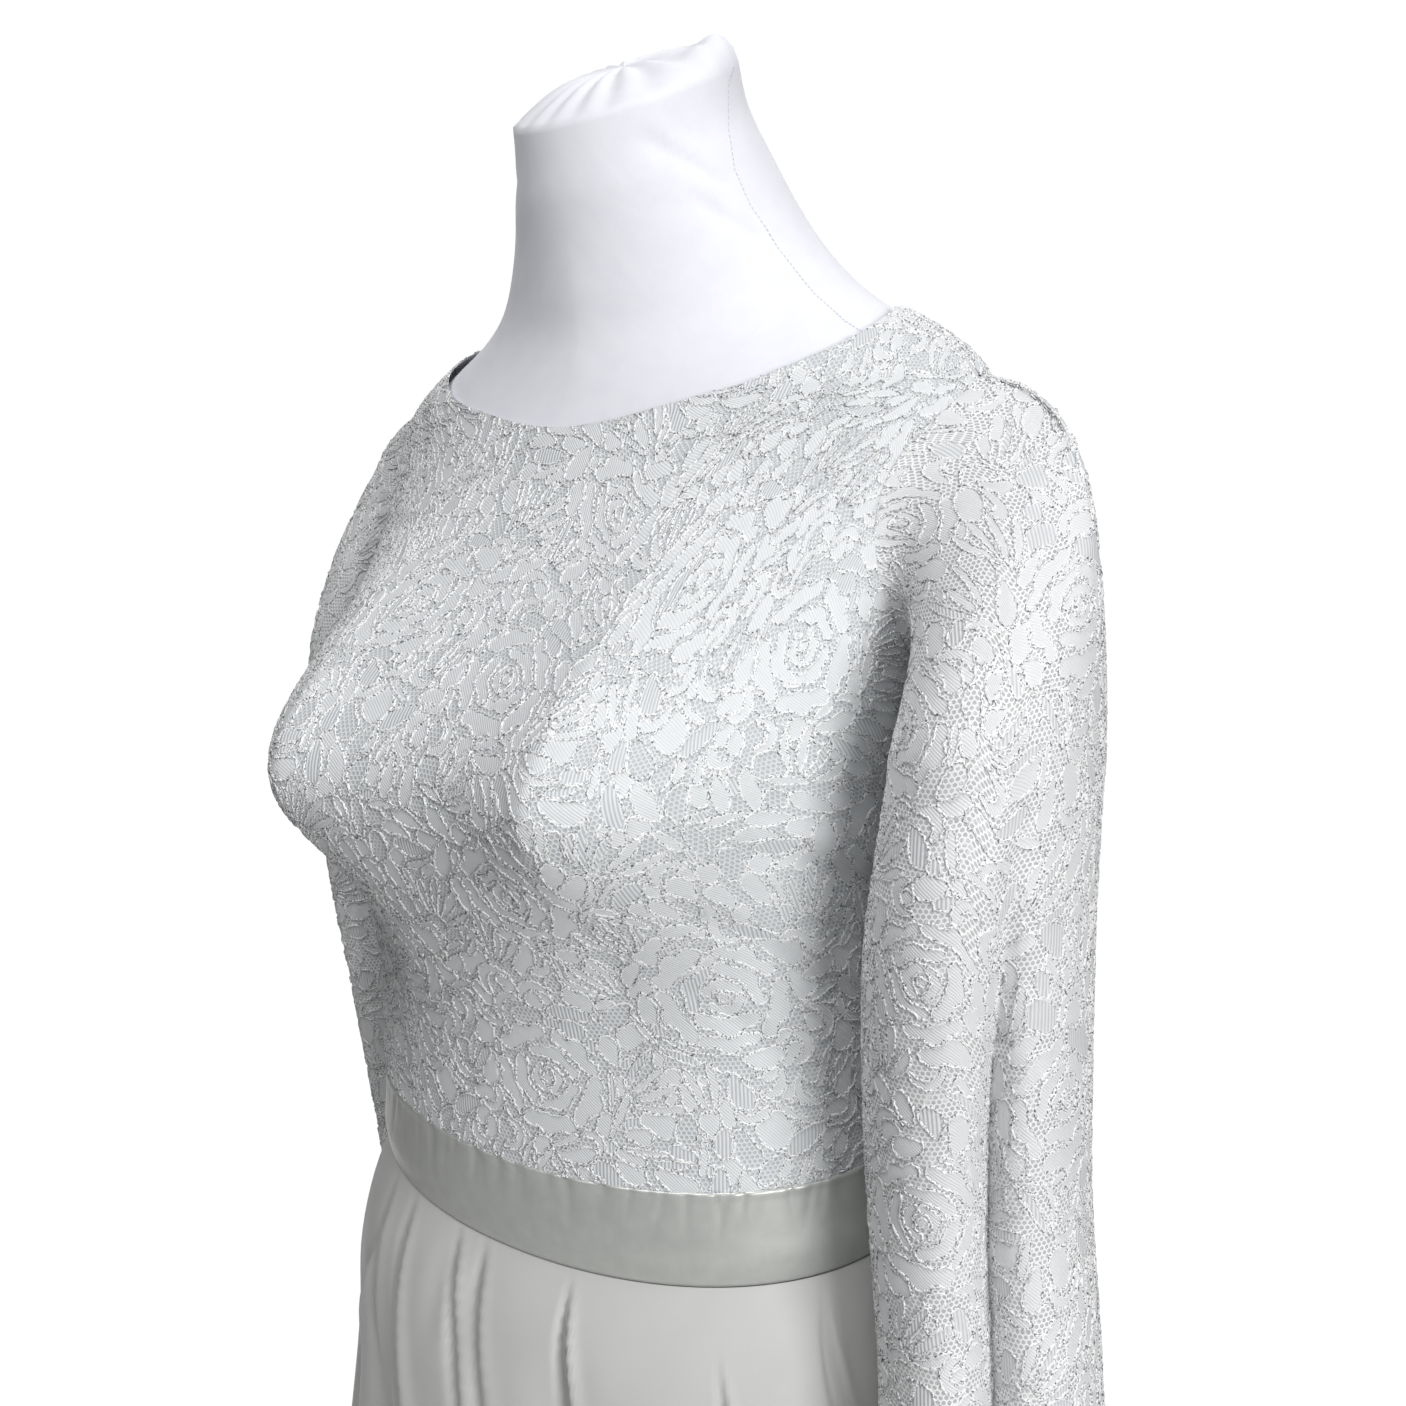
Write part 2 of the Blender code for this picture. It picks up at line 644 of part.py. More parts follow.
def make_slider(frame, group, cutters, metal):
    """Make the slider's rounded plate with the bridge that the pull hangs on."""
    bm = bmesh.new()
    bmesh.ops.create_cube(bm, size=2.0)
    half_x, half_y, half_z = SLIDER_HALF
    bmesh.ops.scale(bm, verts=bm.verts, vec=Vector((half_x, half_y, half_z)))
    bmesh.ops.translate(bm, verts=bm.verts, vec=Vector((0, half_y, 0)))
    corners = [e for e in bm.edges if abs(e.verts[0].co.y - e.verts[1].co.y) > half_y]
    bmesh.ops.bevel(bm, geom=corners, offset=SLIDER_CORNER, segments=3, profile=0.5,
                    affect="EDGES")
    mesh = bpy.data.meshes.new("zip_slider")
    bm.to_mesh(mesh)
    bm.free()
    slider = add_object("zip_slider", mesh, group, metal)
    slider.matrix_world = frame

    side_view = flat_outline("bridge outline", rectangle(*BRIDGE_OUTER),
                             [rectangle(*BRIDGE_WINDOW)], BRIDGE_HALF_WIDTH, cutters, metal)
    bridge = solid_copy(side_view, "slider_bridge", cutters)
    quarter = Matrix(((0, 0, 1, 0), (0, 1, 0, 0), (1, 0, 0, 0), (0, 0, 0, 1)))
    bridge.matrix_world = frame @ quarter
    union = slider.modifiers.new("bridge", "BOOLEAN")
    union.operation = "UNION"
    union.solver = "EXACT"
    union.object = bridge


def make_pull(frame, group, metal):
    """Make the pull tab, whose eye hangs on the slider's bridge."""
    outline = [(-PULL_HALF_TOP, PULL_BAR), (-PULL_HALF_TOP, -PULL_SHOULDER)]
    for k in range(PULL_TIP_STEPS + 1):
        swing = pi * k / PULL_TIP_STEPS
        low = -PULL_LENGTH + PULL_HALF_FOOT * (1 - sin(swing))
        outline.append((-PULL_HALF_FOOT * cos(swing), low))
    outline += [(PULL_HALF_TOP, -PULL_SHOULDER), (PULL_HALF_TOP, PULL_BAR)]
    eye = rectangle(-PULL_EYE_HALF, PULL_EYE_HALF, -PULL_EYE_LONG, -PULL_BAR)
    tab = flat_outline("zip_pull", outline, [eye], PULL_THICK / 2, group, metal)
    hinge_y, hinge_z = PULL_AXIS
    stand_up = Matrix(((1, 0, 0, 0), (0, 0, -1, hinge_y), (0, 1, 0, hinge_z), (0, 0, 0, 1)))
    tab.matrix_world = frame @ stand_up


def solid_copy(item, name, group):
    """Return a closed mesh made from a curve object, which is removed."""
    bpy.context.view_layer.update()
    seen = item.evaluated_get(bpy.context.evaluated_depsgraph_get())
    mesh = bpy.data.meshes.new_from_object(seen)
    bm = bmesh.new()
    bm.from_mesh(mesh)
    bmesh.ops.remove_doubles(bm, verts=bm.verts, dist=0.00001)
    bmesh.ops.recalc_face_normals(bm, faces=bm.faces)
    bm.to_mesh(mesh)
    bm.free()
    solid = bpy.data.objects.new(name, mesh)
    solid.hide_render = True
    solid.display_type = "WIRE"
    group.objects.link(solid)
    bpy.data.objects.remove(item, do_unlink=True)
    return solid


def form_skin(turn, place):
    """Return a point of the form, whose bust is flatter than the dress's cups."""
    return torso_point(turn, place, FORM_BUST)


def form_gap(z):
    """Return how far the form's skin lies inside the dress at a height."""
    near = ease((z - UNDERARM_Z) / (SHOULDER_TIP_Z - UNDERARM_Z))
    return FORM_GAP + (FORM_GAP_SHOULDER - FORM_GAP) * near


def make_form(group, material):
    """Make the limbless form: hips, torso and neck, closed at both ends."""
    rings = []
    rows = len(TORSO) - 1
    for k in range(rows + 1):
        ring = []
        for i in range(FORM_COLUMNS):
            turn = ROUND_TURN * i / FORM_COLUMNS
            spot = form_skin(turn, k)
            normal = surface_normal(form_skin, turn, min(max(k, 0.01), rows - 0.01))
            ring.append(spot - normal * form_gap(spot.z))
        rings.append(ring)
    bm = bmesh.new()
    loops = loft(bm, rings)
    bm.faces.new(list(reversed(loops[0])))
    last = loops[-1]
    middle = sum((v.co for v in last), Vector()) / len(last)
    for share, lift in NECK_CAP_RINGS:
        ring = []
        for vertex in loops[-1]:
            spot = middle + (vertex.co - middle) * share
            ring.append(bm.verts.new(spot + Vector((0, 0, NECK_CAP_RISE * lift))))
        for i, vertex in enumerate(ring):
            j = (i + 1) % len(ring)
            bm.faces.new((last[i], last[j], ring[j], vertex))
        last = ring
    bm.faces.new(last)
    mesh = bpy.data.meshes.new("dress_form")
    bm.to_mesh(mesh)
    bm.free()
    add_object("dress_form", mesh, group, material)


def cylinder(name, radius, low, high, sides, group, material):
    """Return an upright cylinder on the stand's axis."""
    bm = bmesh.new()
    bmesh.ops.create_cone(bm, cap_ends=True, segments=sides, radius1=radius, radius2=radius,
                          depth=high - low)
    bmesh.ops.translate(bm, verts=bm.verts, vec=Vector((0, 0, 0.5 * (low + high))))
    mesh = bpy.data.meshes.new(name)
    bm.to_mesh(mesh)
    bm.free()
    return add_object(name, mesh, group, material)


def make_stand(group, metal, painted):
    """Make the pole under the form and the round base that it stands in."""
    low, high = BASE_THICK + POLE_GAP, FORM_FOOT_Z - POLE_GAP
    cylinder("stand_pole", POLE_RADIUS, low, high, POLE_SIDES, group, metal)
    base = cylinder("stand_base", BASE_RADIUS, 0, BASE_THICK, BASE_SIDES, group, painted)
    rounding = base.modifiers.new("soft edge", "BEVEL")
    rounding.width = BASE_BEVEL
    rounding.segments = 2
    rounding.limit_method = "ANGLE"


def build():
    """Build every piece of the dress and the form under it."""
    clear_scene()
    group = collect("party_dress")
    cutters = collect("cutters")
    lace = finish("ivory corded lace over lining", (0.78, 0.78, 0.75), 0.75)
    sheer = finish("ivory corded lace", (0.80, 0.80, 0.78), 0.75)
    satin = finish("ivory crepe-back satin", (0.62, 0.63, 0.59), 0.45)
    crepe = finish("ivory crepe", (0.68, 0.68, 0.65), 0.65)
    jersey = finish("white jersey cover", (0.74, 0.76, 0.83), 0.85)
    metal = finish("brushed steel", (0.55, 0.55, 0.56), 0.35, 1.0)
    painted = finish("white powder coat", (0.80, 0.80, 0.80), 0.5)
    enamel = finish("ivory enamelled metal", (0.75, 0.75, 0.72), 0.35)
    make_bodice(group, lace)
    make_sleeve("sleeve_left", LEFT_SLEEVE, 1, group, sheer)
    make_sleeve("sleeve_right", RIGHT_SLEEVE, -1, group, sheer)
    make_waistband(group, satin)
    make_skirt(group, crepe)
    make_zip(group, cutters, satin, enamel)
    make_form(group, jersey)
    make_stand(group, metal, painted)


build()
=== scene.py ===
"""The looks of a long-sleeved lace party dress on a limbless dress form.

Metres, +Z up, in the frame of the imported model: the front faces -Y and the
wearer's left is +X. Each cloth piece is a fine shell on the surface that its
solid was made on. The lace is cut from one repeat of roses, leaves and buds:
net for the ground, flat clothwork for the petals and raised cord round them.
"""

import json
import logging
from collections.abc import Callable
from dataclasses import dataclass, field
from enum import Enum
from random import Random

import bmesh
import bpy
import numpy as np
from mathutils import Matrix, Vector

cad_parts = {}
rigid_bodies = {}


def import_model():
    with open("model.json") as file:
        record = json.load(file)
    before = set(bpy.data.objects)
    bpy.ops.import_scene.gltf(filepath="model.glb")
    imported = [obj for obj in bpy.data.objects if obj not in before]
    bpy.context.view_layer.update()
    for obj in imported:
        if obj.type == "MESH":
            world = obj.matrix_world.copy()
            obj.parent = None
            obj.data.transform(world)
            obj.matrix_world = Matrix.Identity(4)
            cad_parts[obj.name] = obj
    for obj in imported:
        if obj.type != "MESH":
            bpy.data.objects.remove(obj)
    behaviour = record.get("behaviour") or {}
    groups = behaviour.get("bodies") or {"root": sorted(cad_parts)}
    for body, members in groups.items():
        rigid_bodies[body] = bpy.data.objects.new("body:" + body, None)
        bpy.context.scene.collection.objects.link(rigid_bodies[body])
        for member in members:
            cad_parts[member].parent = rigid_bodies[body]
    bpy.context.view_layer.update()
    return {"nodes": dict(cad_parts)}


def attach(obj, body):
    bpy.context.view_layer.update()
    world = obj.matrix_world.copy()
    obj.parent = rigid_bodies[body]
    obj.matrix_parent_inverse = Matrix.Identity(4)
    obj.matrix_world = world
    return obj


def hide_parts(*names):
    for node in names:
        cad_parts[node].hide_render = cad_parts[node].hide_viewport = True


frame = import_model()

BODY = "dress_on_form"
MM = 0.001
FLAT_UV = "flat"
UV_MM = 100.0
MM_PER_METRE = 1000.0
# How far apart a wave texture's bands lie at scale 1: along X, its default, and slanting
WAVE_STEP_MM = 0.314
WAVE_SLANT_STEP_MM = 0.444
# How far apart the rows of a hexagonal net lie at a pitch of 1
HEX_RISE = 0.8660254
# A sheet's area is at most this share of its flat width times its length
MOST_FILL = 0.999
# The short names that the finishes give to the surface shader's sockets
SHADER_SOCKETS = {
    "roughness": "Roughness",
    "metallic": "Metallic",
    "specular": "Specular IOR Level",
    "alpha": "Alpha",
    "sheen": "Sheen Weight",
    "coat": "Coat Weight",
}

log = logging.getLogger("party_dress")

Array = np.ndarray
Surface = Callable[[Array, Array], Array]
Place = tuple[float, float]
Triple = tuple[float, float, float]
# Where a crease starts and ends, its half width at both ends, and its depth
Crease = tuple[Place, Place, Place, float]


# Small mathematics


def ease(t: Array) -> Array:
    """Return a soft step from 0 to 1."""
    t = np.clip(t, 0.0, 1.0)
    return t * t * (3 - 2 * t)


def bump(distance: Array, width: float | Array) -> Array:
    """Return a bell curve that is 1 at no distance."""
    return np.exp(-((distance / width) ** 2))


def signed_power(value: Array, power: float | Array) -> Array:
    """Return a power of a number that keeps its sign."""
    return np.sign(value) * np.abs(value) ** power


def turn_apart(turn: Array, degrees: float) -> Array:
    """Return the shortest turn in radians from an angle given in degrees."""
    return (turn - np.radians(degrees) + np.pi) % (2 * np.pi) - np.pi


def unit(vectors: Array) -> Array:
    """Return vectors brought to length 1 along their last axis."""
    return vectors / np.maximum(np.linalg.norm(vectors, axis=-1, keepdims=True), 1e-12)


@dataclass(frozen=True)
class SmoothTable:
    """Rows of named sizes that blend smoothly from one row to the next."""

    columns: str
    rows: tuple[tuple[float, ...], ...]

    def mix(self, place: Array) -> dict[str, Array]:
        """Blend the rows at fractional row numbers.

        Args:
            place: Row numbers, from 0 to the last row.

        Returns:
            An array for each named column.
        """
        rows = np.array(self.rows)
        place = np.clip(np.asarray(place, float), 0, len(rows) - 1)
        here = np.minimum(place.astype(int), len(rows) - 2)
        t = (place - here)[..., None]
        p0, p1 = rows[np.maximum(here - 1, 0)], rows[here]
        p2, p3 = rows[here + 1], rows[np.minimum(here + 2, len(rows) - 1)]
        curve = 2 * p0 - 5 * p1 + 4 * p2 - p3
        twist = 3 * p1 - p0 - 3 * p2 + p3
        mixed = 0.5 * (2 * p1 + (p2 - p0) * t + curve * t**2 + twist * t**3)
        return {name: mixed[..., i] for i, name in enumerate(self.columns.split())}

    def place_of(self, value: Array) -> Array:
        """Return the row numbers at which the first, rising column has a value."""
        fine = np.linspace(0, len(self.rows) - 1, 6000)
        return np.interp(value, self.mix(fine)[self.columns.split()[0]], fine)


# The shapes that the dress is cut to


@dataclass(frozen=True)
class Cut:
    """Heights above the floor and seam sizes, in metres."""

    hem: float = 0.040

    band_bottom: float = 1.005
    band_top: float = 1.050
    underarm: float = 1.266
    shoulder_tip: float = 1.398
    neck_point: float = 1.431
    neck_front: float = 1.383
    neck_back: float = 1.407
    neck_rim: float = 1.540
    seam_half: float = 0.00022
    skirt_drop: float = 0.0007
    zip_half: float = 0.0015
    zip_below_band: float = 0.160


CUT = Cut()

TORSO_ROWS = SmoothTable(
    "height half_width middle_y front back front_power back_power",
    (
        (0.800, 0.166, -0.004, 0.112, 0.120, 2.0, 2.0),
        (0.860, 0.170, -0.006, 0.116, 0.122, 2.0, 2.0),
        (0.930, 0.165, -0.014, 0.112, 0.118, 2.0, 2.0),
        (1.005, 0.1550, -0.029, 0.1110, 0.110, 2.1, 2.1),
        (1.050, 0.1530, -0.029, 0.1095, 0.109, 2.1, 2.1),
        (1.095, 0.1520, -0.026, 0.1085, 0.109, 2.1, 2.1),
        (1.140, 0.1525, -0.020, 0.1075, 0.110, 2.1, 2.1),
        (1.190, 0.1545, -0.011, 0.1055, 0.110, 2.1, 2.1),
        (1.240, 0.1590, -0.005, 0.1040, 0.109, 2.1, 2.2),
        (1.285, 0.1645, 0.001, 0.0990, 0.106, 2.1, 2.2),
        (1.320, 0.1700, 0.006, 0.0920, 0.101, 2.1, 2.2),
        (1.350, 0.1745, 0.011, 0.0845, 0.095, 2.0, 2.2),
        (1.374, 0.1760, 0.015, 0.0790, 0.089, 1.9, 2.2),
        (1.393, 0.1730, 0.019, 0.0760, 0.083, 1.8, 2.2),
        (1.408, 0.1620, 0.023, 0.0765, 0.077, 1.65, 2.2),
        (1.420, 0.1450, 0.027, 0.0785, 0.071, 1.6, 2.2),
        (1.431, 0.1260, 0.029, 0.0800, 0.067, 1.6, 2.2),
        (1.443, 0.1080, 0.029, 0.0810, 0.063, 1.65, 2.15),
        (1.458, 0.0930, 0.026, 0.0790, 0.060, 1.75, 2.1),
        (1.477, 0.0790, 0.019, 0.0740, 0.060, 1.85, 2.05),
        (1.498, 0.0685, 0.010, 0.0670, 0.058, 1.95, 2.0),
        (1.520, 0.0600, 0.001, 0.0590, 0.055, 2.0, 2.0),
        (1.540, 0.0580, -0.004, 0.0550, 0.055, 2.0, 2.0),
    ),
)

SKIRT_ROWS = SmoothTable(
    "below half_width middle_y front back front_power back_power flute",
    (
        (0.000, 0.1550, -0.029, 0.111, 0.110, 2.1, 2.1, 0.000),
        (0.025, 0.1620, -0.029, 0.128, 0.118, 2.1, 2.1, 0.002),
        (0.060, 0.1700, -0.027, 0.140, 0.127, 2.1, 2.1, 0.004),
        (0.110, 0.1800, -0.023, 0.151, 0.138, 2.0, 2.0, 0.007),
        (0.180, 0.1950, -0.018, 0.165, 0.153, 2.0, 2.0, 0.011),
        (0.280, 0.2170, -0.013, 0.187, 0.176, 2.0, 2.0, 0.017),
        (0.420, 0.2480, -0.008, 0.219, 0.209, 2.0, 2.0, 0.024),
        (0.600, 0.2880, -0.004, 0.260, 0.252, 2.0, 2.0, 0.032),
        (0.800, 0.3300, 0.000, 0.303, 0.300, 2.0, 2.0, 0.041),
        (0.965, 0.3640, 0.000, 0.338, 0.338, 2.0, 2.0, 0.048),
    ),
)

LEFT_SLEEVE_ROWS = SmoothTable(
    "height centre_x centre_y half_x half_y valley",
    (
        (1.240, 0.2060, -0.036, 0.0380, 0.0630, 0.000),
        (1.205, 0.2045, -0.042, 0.0400, 0.0640, 0.001),
        (1.165, 0.2025, -0.046, 0.0430, 0.0620, 0.004),
        (1.110, 0.2025, -0.048, 0.0440, 0.0600, 0.009),
        (1.050, 0.2045, -0.050, 0.0440, 0.0580, 0.013),
        (0.985, 0.2120, -0.056, 0.0440, 0.0580, 0.014),
        (0.920, 0.2200, -0.069, 0.0450, 0.0580, 0.013),
        (0.860, 0.2280, -0.082, 0.0440, 0.0560, 0.011),
        (0.805, 0.2360, -0.093, 0.0430, 0.0540, 0.009),
    ),
)

RIGHT_SLEEVE_ROWS = SmoothTable(
    "height centre_x centre_y half_x half_y valley",
    (
        (1.240, 0.1980, -0.004, 0.0290, 0.0600, 0.000),
        (1.205, 0.1990, -0.004, 0.0300, 0.0600, 0.001),
        (1.165, 0.2000, -0.004, 0.0300, 0.0590, 0.003),
        (1.110, 0.2000, -0.003, 0.0300, 0.0570, 0.006),
        (1.050, 0.2010, 0.002, 0.0290, 0.0550, 0.009),
        (0.985, 0.2070, 0.011, 0.0290, 0.0540, 0.010),
        (0.920, 0.2160, 0.021, 0.0290, 0.0530, 0.010),
        (0.860, 0.2260, 0.028, 0.0290, 0.0520, 0.009),
        (0.805, 0.2360, 0.033, 0.0290, 0.0510, 0.008),
    ),
)


def section(row: dict[str, Array], turn: Array) -> tuple[Array, Array]:
    """Return x and y on a level section, turned from the front to the left.

    Args:
        row: The section's blended sizes.
        turn: Turns in radians, 0 at the centre front.

    Returns:
        The x and y of each point.
    """
    ahead = np.cos(turn) > 0
    deep = np.where(ahead, row["front"], row["back"])
    power = 2.0 / np.where(ahead, row["front_power"], row["back_power"])
    x = row["half_width"] * signed_power(np.sin(turn), power)
    y = row["middle_y"] - deep * signed_power(np.cos(turn), power)
    return x, y


@dataclass(frozen=True)
class Torso:
    """The surface that the bodice, the waistband and the form share."""

    bust_x: float = 0.075
    bust_z: float = 1.238
    bust_reach: float = 0.085
    bust_bridge: float = 0.74
    bust_outer: float = 0.074
    bust_up: float = 0.072
    bust_down: float = 0.070
    bust_down_more: float = 0.022
    bust_fade_from: float = -0.2
    bust_fade_over: float = 0.5
    neck_tilt: float = 0.40
    tilt_from: float = 1.455
    armhole_front: float = 30.0
    armhole_back: float = 24.0
    armhole_fullness: float = 0.8
    neck_curve_front: float = 1.5
    neck_curve_back: float = 2.2
    turn_step: float = 0.004

    def point(self, turn: Array, place: Array, bust: float = 1.0) -> Array:
        """Return points of the surface, bust and neck slope included.

        Args:
            turn: Turns in radians from the centre front to the wearer's left.
            place: Row numbers in the torso's table.
            bust: How full the bust is, 1 for the dress.

        Returns:
            Points, with x, y and z along the last axis.
        """
        turn, place = np.broadcast_arrays(turn, place)
        row = TORSO_ROWS.mix(place)
        x, y = section(row, turn)
        z = row["height"]
        from_apex = np.abs(x) - self.bust_x
        bridge = self.bust_bridge + (1 - self.bust_bridge) * (x / self.bust_x) ** 2
        side = np.where(from_apex > 0, bump(from_apex, self.bust_outer), bridge)
        down = self.bust_down + self.bust_down_more * np.maximum(0, 1 - (x / self.bust_x) ** 2)
        tall = bump(z - self.bust_z, np.where(z > self.bust_z, self.bust_up, down))
        fade = ease((np.cos(turn) - self.bust_fade_from) / self.bust_fade_over)
        y = y - bust * self.bust_reach * side * tall * fade
        rise = ease((z - self.tilt_from) / (CUT.neck_rim - self.tilt_from))
        return np.stack([x, y, z + self.neck_tilt * rise * y], axis=-1)

    def armhole_turn(self, place: Array, bite: float) -> Array:
        """Return how far round the armhole or side seam lies, in radians."""
        low, tip = TORSO_ROWS.place_of(CUT.underarm), TORSO_ROWS.place_of(CUT.shoulder_tip)
        along = np.clip((place - low) / (tip - low), 0, 1)
        return np.pi / 2 - np.radians(bite) * np.sin(np.pi * along) ** self.armhole_fullness

    def turn_for(self, distance: float | Array, turn: Array, place: Array) -> Array:
        """Return how much turn makes a distance along a level."""
        ahead = self.point(turn + self.turn_step, place)
        run = np.linalg.norm(ahead - self.point(turn - self.turn_step, place), axis=-1)
        return 2 * self.turn_step * distance / np.maximum(run, 1e-6)

    def bodice_point(self, across: Array, up: Array, back: bool) -> Array:
        """Return points of the bodice.

        Args:
            across: From -1 at one side to 1 at the other, 0 in the middle.
            up: From 0 at the waistband to 1 at the neckline.
            back: Whether the points are on the back.

        Returns:
            The points.
        """
        lowest = CUT.neck_back if back else CUT.neck_front
        curve = self.neck_curve_back if back else self.neck_curve_front
        bite = self.armhole_back if back else self.armhole_front
        waist = TORSO_ROWS.place_of(CUT.band_top + CUT.seam_half)
        low, point = TORSO_ROWS.place_of(lowest), TORSO_ROWS.place_of(CUT.neck_point)
        rise = 1 - np.maximum(np.cos(np.abs(across) * np.pi / 2), 0) ** curve
        place = waist + up * (low + (point - low) * rise - waist)
        edge = self.armhole_turn(place, bite)
        whole = np.pi - edge if back else edge
        turn = across * (edge - self.turn_for(CUT.seam_half, whole, place))
        return self.point(np.pi - turn if back else turn, place)


TORSO = Torso()


class ClothGrid:
    """A piece of cloth as rows of points, with its flat measure in millimetres."""

    def __init__(
        self, surface: Surface, columns: int, rows: int, lift: float = 0.0, middle: float = 0.5
    ) -> None:
        """Lay the grid on a surface.

        Args:
            surface: Gives points for u from -1 to 1 and v from 0 to 1.
            columns: How many cells wide the grid is.
            rows: How many cells tall it is.
            lift: How far the grid stands off the surface, in metres.
            middle: Where across the grid its flat measure starts, from 0 to 1.
        """
        self.columns = columns
        self.rows = rows
        u, v = np.meshgrid(np.linspace(-1, 1, columns + 1), np.linspace(0, 1, rows + 1))
        points = surface(u, v)
        across, up = np.gradient(points, axis=1), np.gradient(points, axis=0)
        self.normals = unit(np.cross(across, up))
        self.points = points + self.normals * lift
        wide = np.linalg.norm(np.diff(self.points, axis=1), axis=-1) / MM
        tall = np.linalg.norm(np.diff(self.points, axis=0), axis=-1) / MM
        self.s = np.pad(np.cumsum(wide, axis=1), ((0, 0), (1, 0)))
        self.s -= self.s[:, [int(round(middle * columns))]]
        self.t = np.pad(np.cumsum(tall, axis=0), ((1, 0), (0, 0)))
        self.slopes = [np.gradient(a, axis=k) for a in (self.s, self.t) for k in (1, 0)]

    def sample(self, values: Array, column: Array, row: Array) -> Array:
        """Return values of the grid between its points."""
        column = np.clip(column, 0, self.columns)
        row = np.clip(row, 0, self.rows)
        i = np.minimum(column.astype(int), self.columns - 1)
        j = np.minimum(row.astype(int), self.rows - 1)
        a, b = column - i, row - j
        if values.ndim == 3:
            a, b = a[:, None], b[:, None]
        low = values[j, i] * (1 - a) + values[j, i + 1] * a
        high = values[j + 1, i] * (1 - a) + values[j + 1, i + 1] * a
        return low * (1 - b) + high * b

    def locate(self, flat: Array) -> tuple[Array, Array]:
        """Find where flat places lie on the grid.

        Args:
            flat: Places on the flat cloth, in millimetres.

        Returns:
            Fractional column and row numbers, which run past the edges.
        """
        column = np.full(len(flat), self.columns / 2.0)
        row = np.full(len(flat), self.rows / 2.0)
        for _ in range(9):
            over_c = column - np.clip(column, 0, self.columns)
            over_r = row - np.clip(row, 0, self.rows)
            s_c, s_r, t_c, t_r = [self.sample(a, column, row) for a in self.slopes]
            miss_s = flat[:, 0] - self.sample(self.s, column, row) - s_c * over_c - s_r * over_r
            miss_t = flat[:, 1] - self.sample(self.t, column, row) - t_c * over_c - t_r * over_r
            area = s_c * t_r - s_r * t_c
            area = np.where(np.abs(area) < 1e-6, 1e-6, area)
            column = column + np.clip((miss_s * t_r - miss_t * s_r) / area, -30, 30)
            row = row + np.clip((miss_t * s_c - miss_s * t_c) / area, -30, 30)
        return column, row

    def lifted(self, column: Array, row: Array, lift: Array) -> Array:
        """Return points at grid places, lifted off the cloth by millimetres."""
        normal = unit(self.sample(self.normals, column, row))
        return self.sample(self.points, column, row) + normal * (lift * MM)[:, None]

    def press(self, relief: Array) -> None:
        """Move the cloth along its normals, in metres, then measure them again."""
        self.points = self.points + self.normals * relief[..., None]
        across, up = np.gradient(self.points, axis=1), np.gradient(self.points, axis=0)
        self.normals = unit(np.cross(across, up))

    def crease(
        self, start: Place, end: Place, wide: Place, deep: float, fades: Place = (0.3, 0.3)
    ) -> Array:
        """Return a soft trough between two places, with a low ridge on one side.

        Args:
            start: Where it starts, as u from -1 to 1 and v from 0 to 1.
            end: Where it ends.
            wide: Its half width at its start and at its end, in millimetres.
            deep: How deep it is, in metres.
            fades: The share of its length over which each end fades.

        Returns:
            The relief in metres, for press.
        """
        spots = []
        for u, v in (start, end):
            column, row = np.array([0.5 * (u + 1) * self.columns]), np.array([v * self.rows])
            spots.append((self.sample(self.s, column, row)[0], self.sample(self.t, column, row)[0]))
        (s0, t0), (s1, t1) = spots
        length = np.hypot(s1 - s0, t1 - t0)
        along = ((self.s - s0) * (s1 - s0) + (self.t - t0) * (t1 - t0)) / length**2
        aside = ((self.t - t0) * (s1 - s0) - (self.s - s0) * (t1 - t0)) / length
        half = wide[0] + (wide[1] - wide[0]) * np.clip(along, 0, 1)
        shown = ease(along / fades[0]) * ease((1 - along) / fades[1])
        trough = bump(aside, half) - 0.5 * bump(aside - 1.6 * half, 1.3 * half)
        return -deep * shown * trough

    @property
    def flat_size(self) -> tuple[float, float]:
        """Return the width and length of the flat cloth, in metres."""
        return float(np.ptp(self.s) * MM), float(np.ptp(self.t) * MM)

    @property
    def stated_area(self) -> float:
        """Return the area, at most what the flat width and length can hold."""
        width, length = self.flat_size
        return min(self.area, MOST_FILL * (width * length))

    @property
    def area(self) -> float:
        """Return the cloth's area in square metres."""
        across = np.diff(self.points, axis=1)[:-1]
        up = np.diff(self.points, axis=0)[:, :-1]
        return float(np.linalg.norm(np.cross(across, up), axis=-1).sum())

    def mesh_object(self, name: str, closed: bool = False) -> bpy.types.Object:
        """Make the shell, with the flat measure as its UV map.

        Args:
            name: The piece's name.
            closed: Whether the first and last columns are sewn together.

        Returns:
            The new object.
        """
        bm = bmesh.new()
        bm.loops.layers.uv.new(FLAT_UV)
        bmesh.ops.create_grid(bm, x_segments=self.columns, y_segments=self.rows, size=1.0)
        mesh = bpy.data.meshes.new(name)
        bm.to_mesh(mesh)
        flat = np.stack([self.s, self.t], axis=-1).reshape(-1, 2)
        place_mesh(mesh, self.points.reshape(-1, 3), flat)
        if closed:
            bm.clear()
            bm.from_mesh(mesh)
            bmesh.ops.remove_doubles(bm, verts=bm.verts, dist=1e-6)
            bm.to_mesh(mesh)
        bm.free()
        mesh.shade_smooth()
        return bpy.data.objects.new(name, mesh)


def place_mesh(mesh: bpy.types.Mesh, points: Array, flat: Array) -> None:
    """Set a mesh's points, and its UV map from a flat place for each point."""
    mesh.vertices.foreach_set("co", points.astype(np.float32).ravel())
    corners = np.zeros(len(mesh.loops), np.int32)
    mesh.loops.foreach_get("vertex_index", corners)
    uv = (flat / UV_MM).astype(np.float32)[corners]
    mesh.uv_layers[FLAT_UV].data.foreach_set("uv", uv.ravel())
    mesh.update()


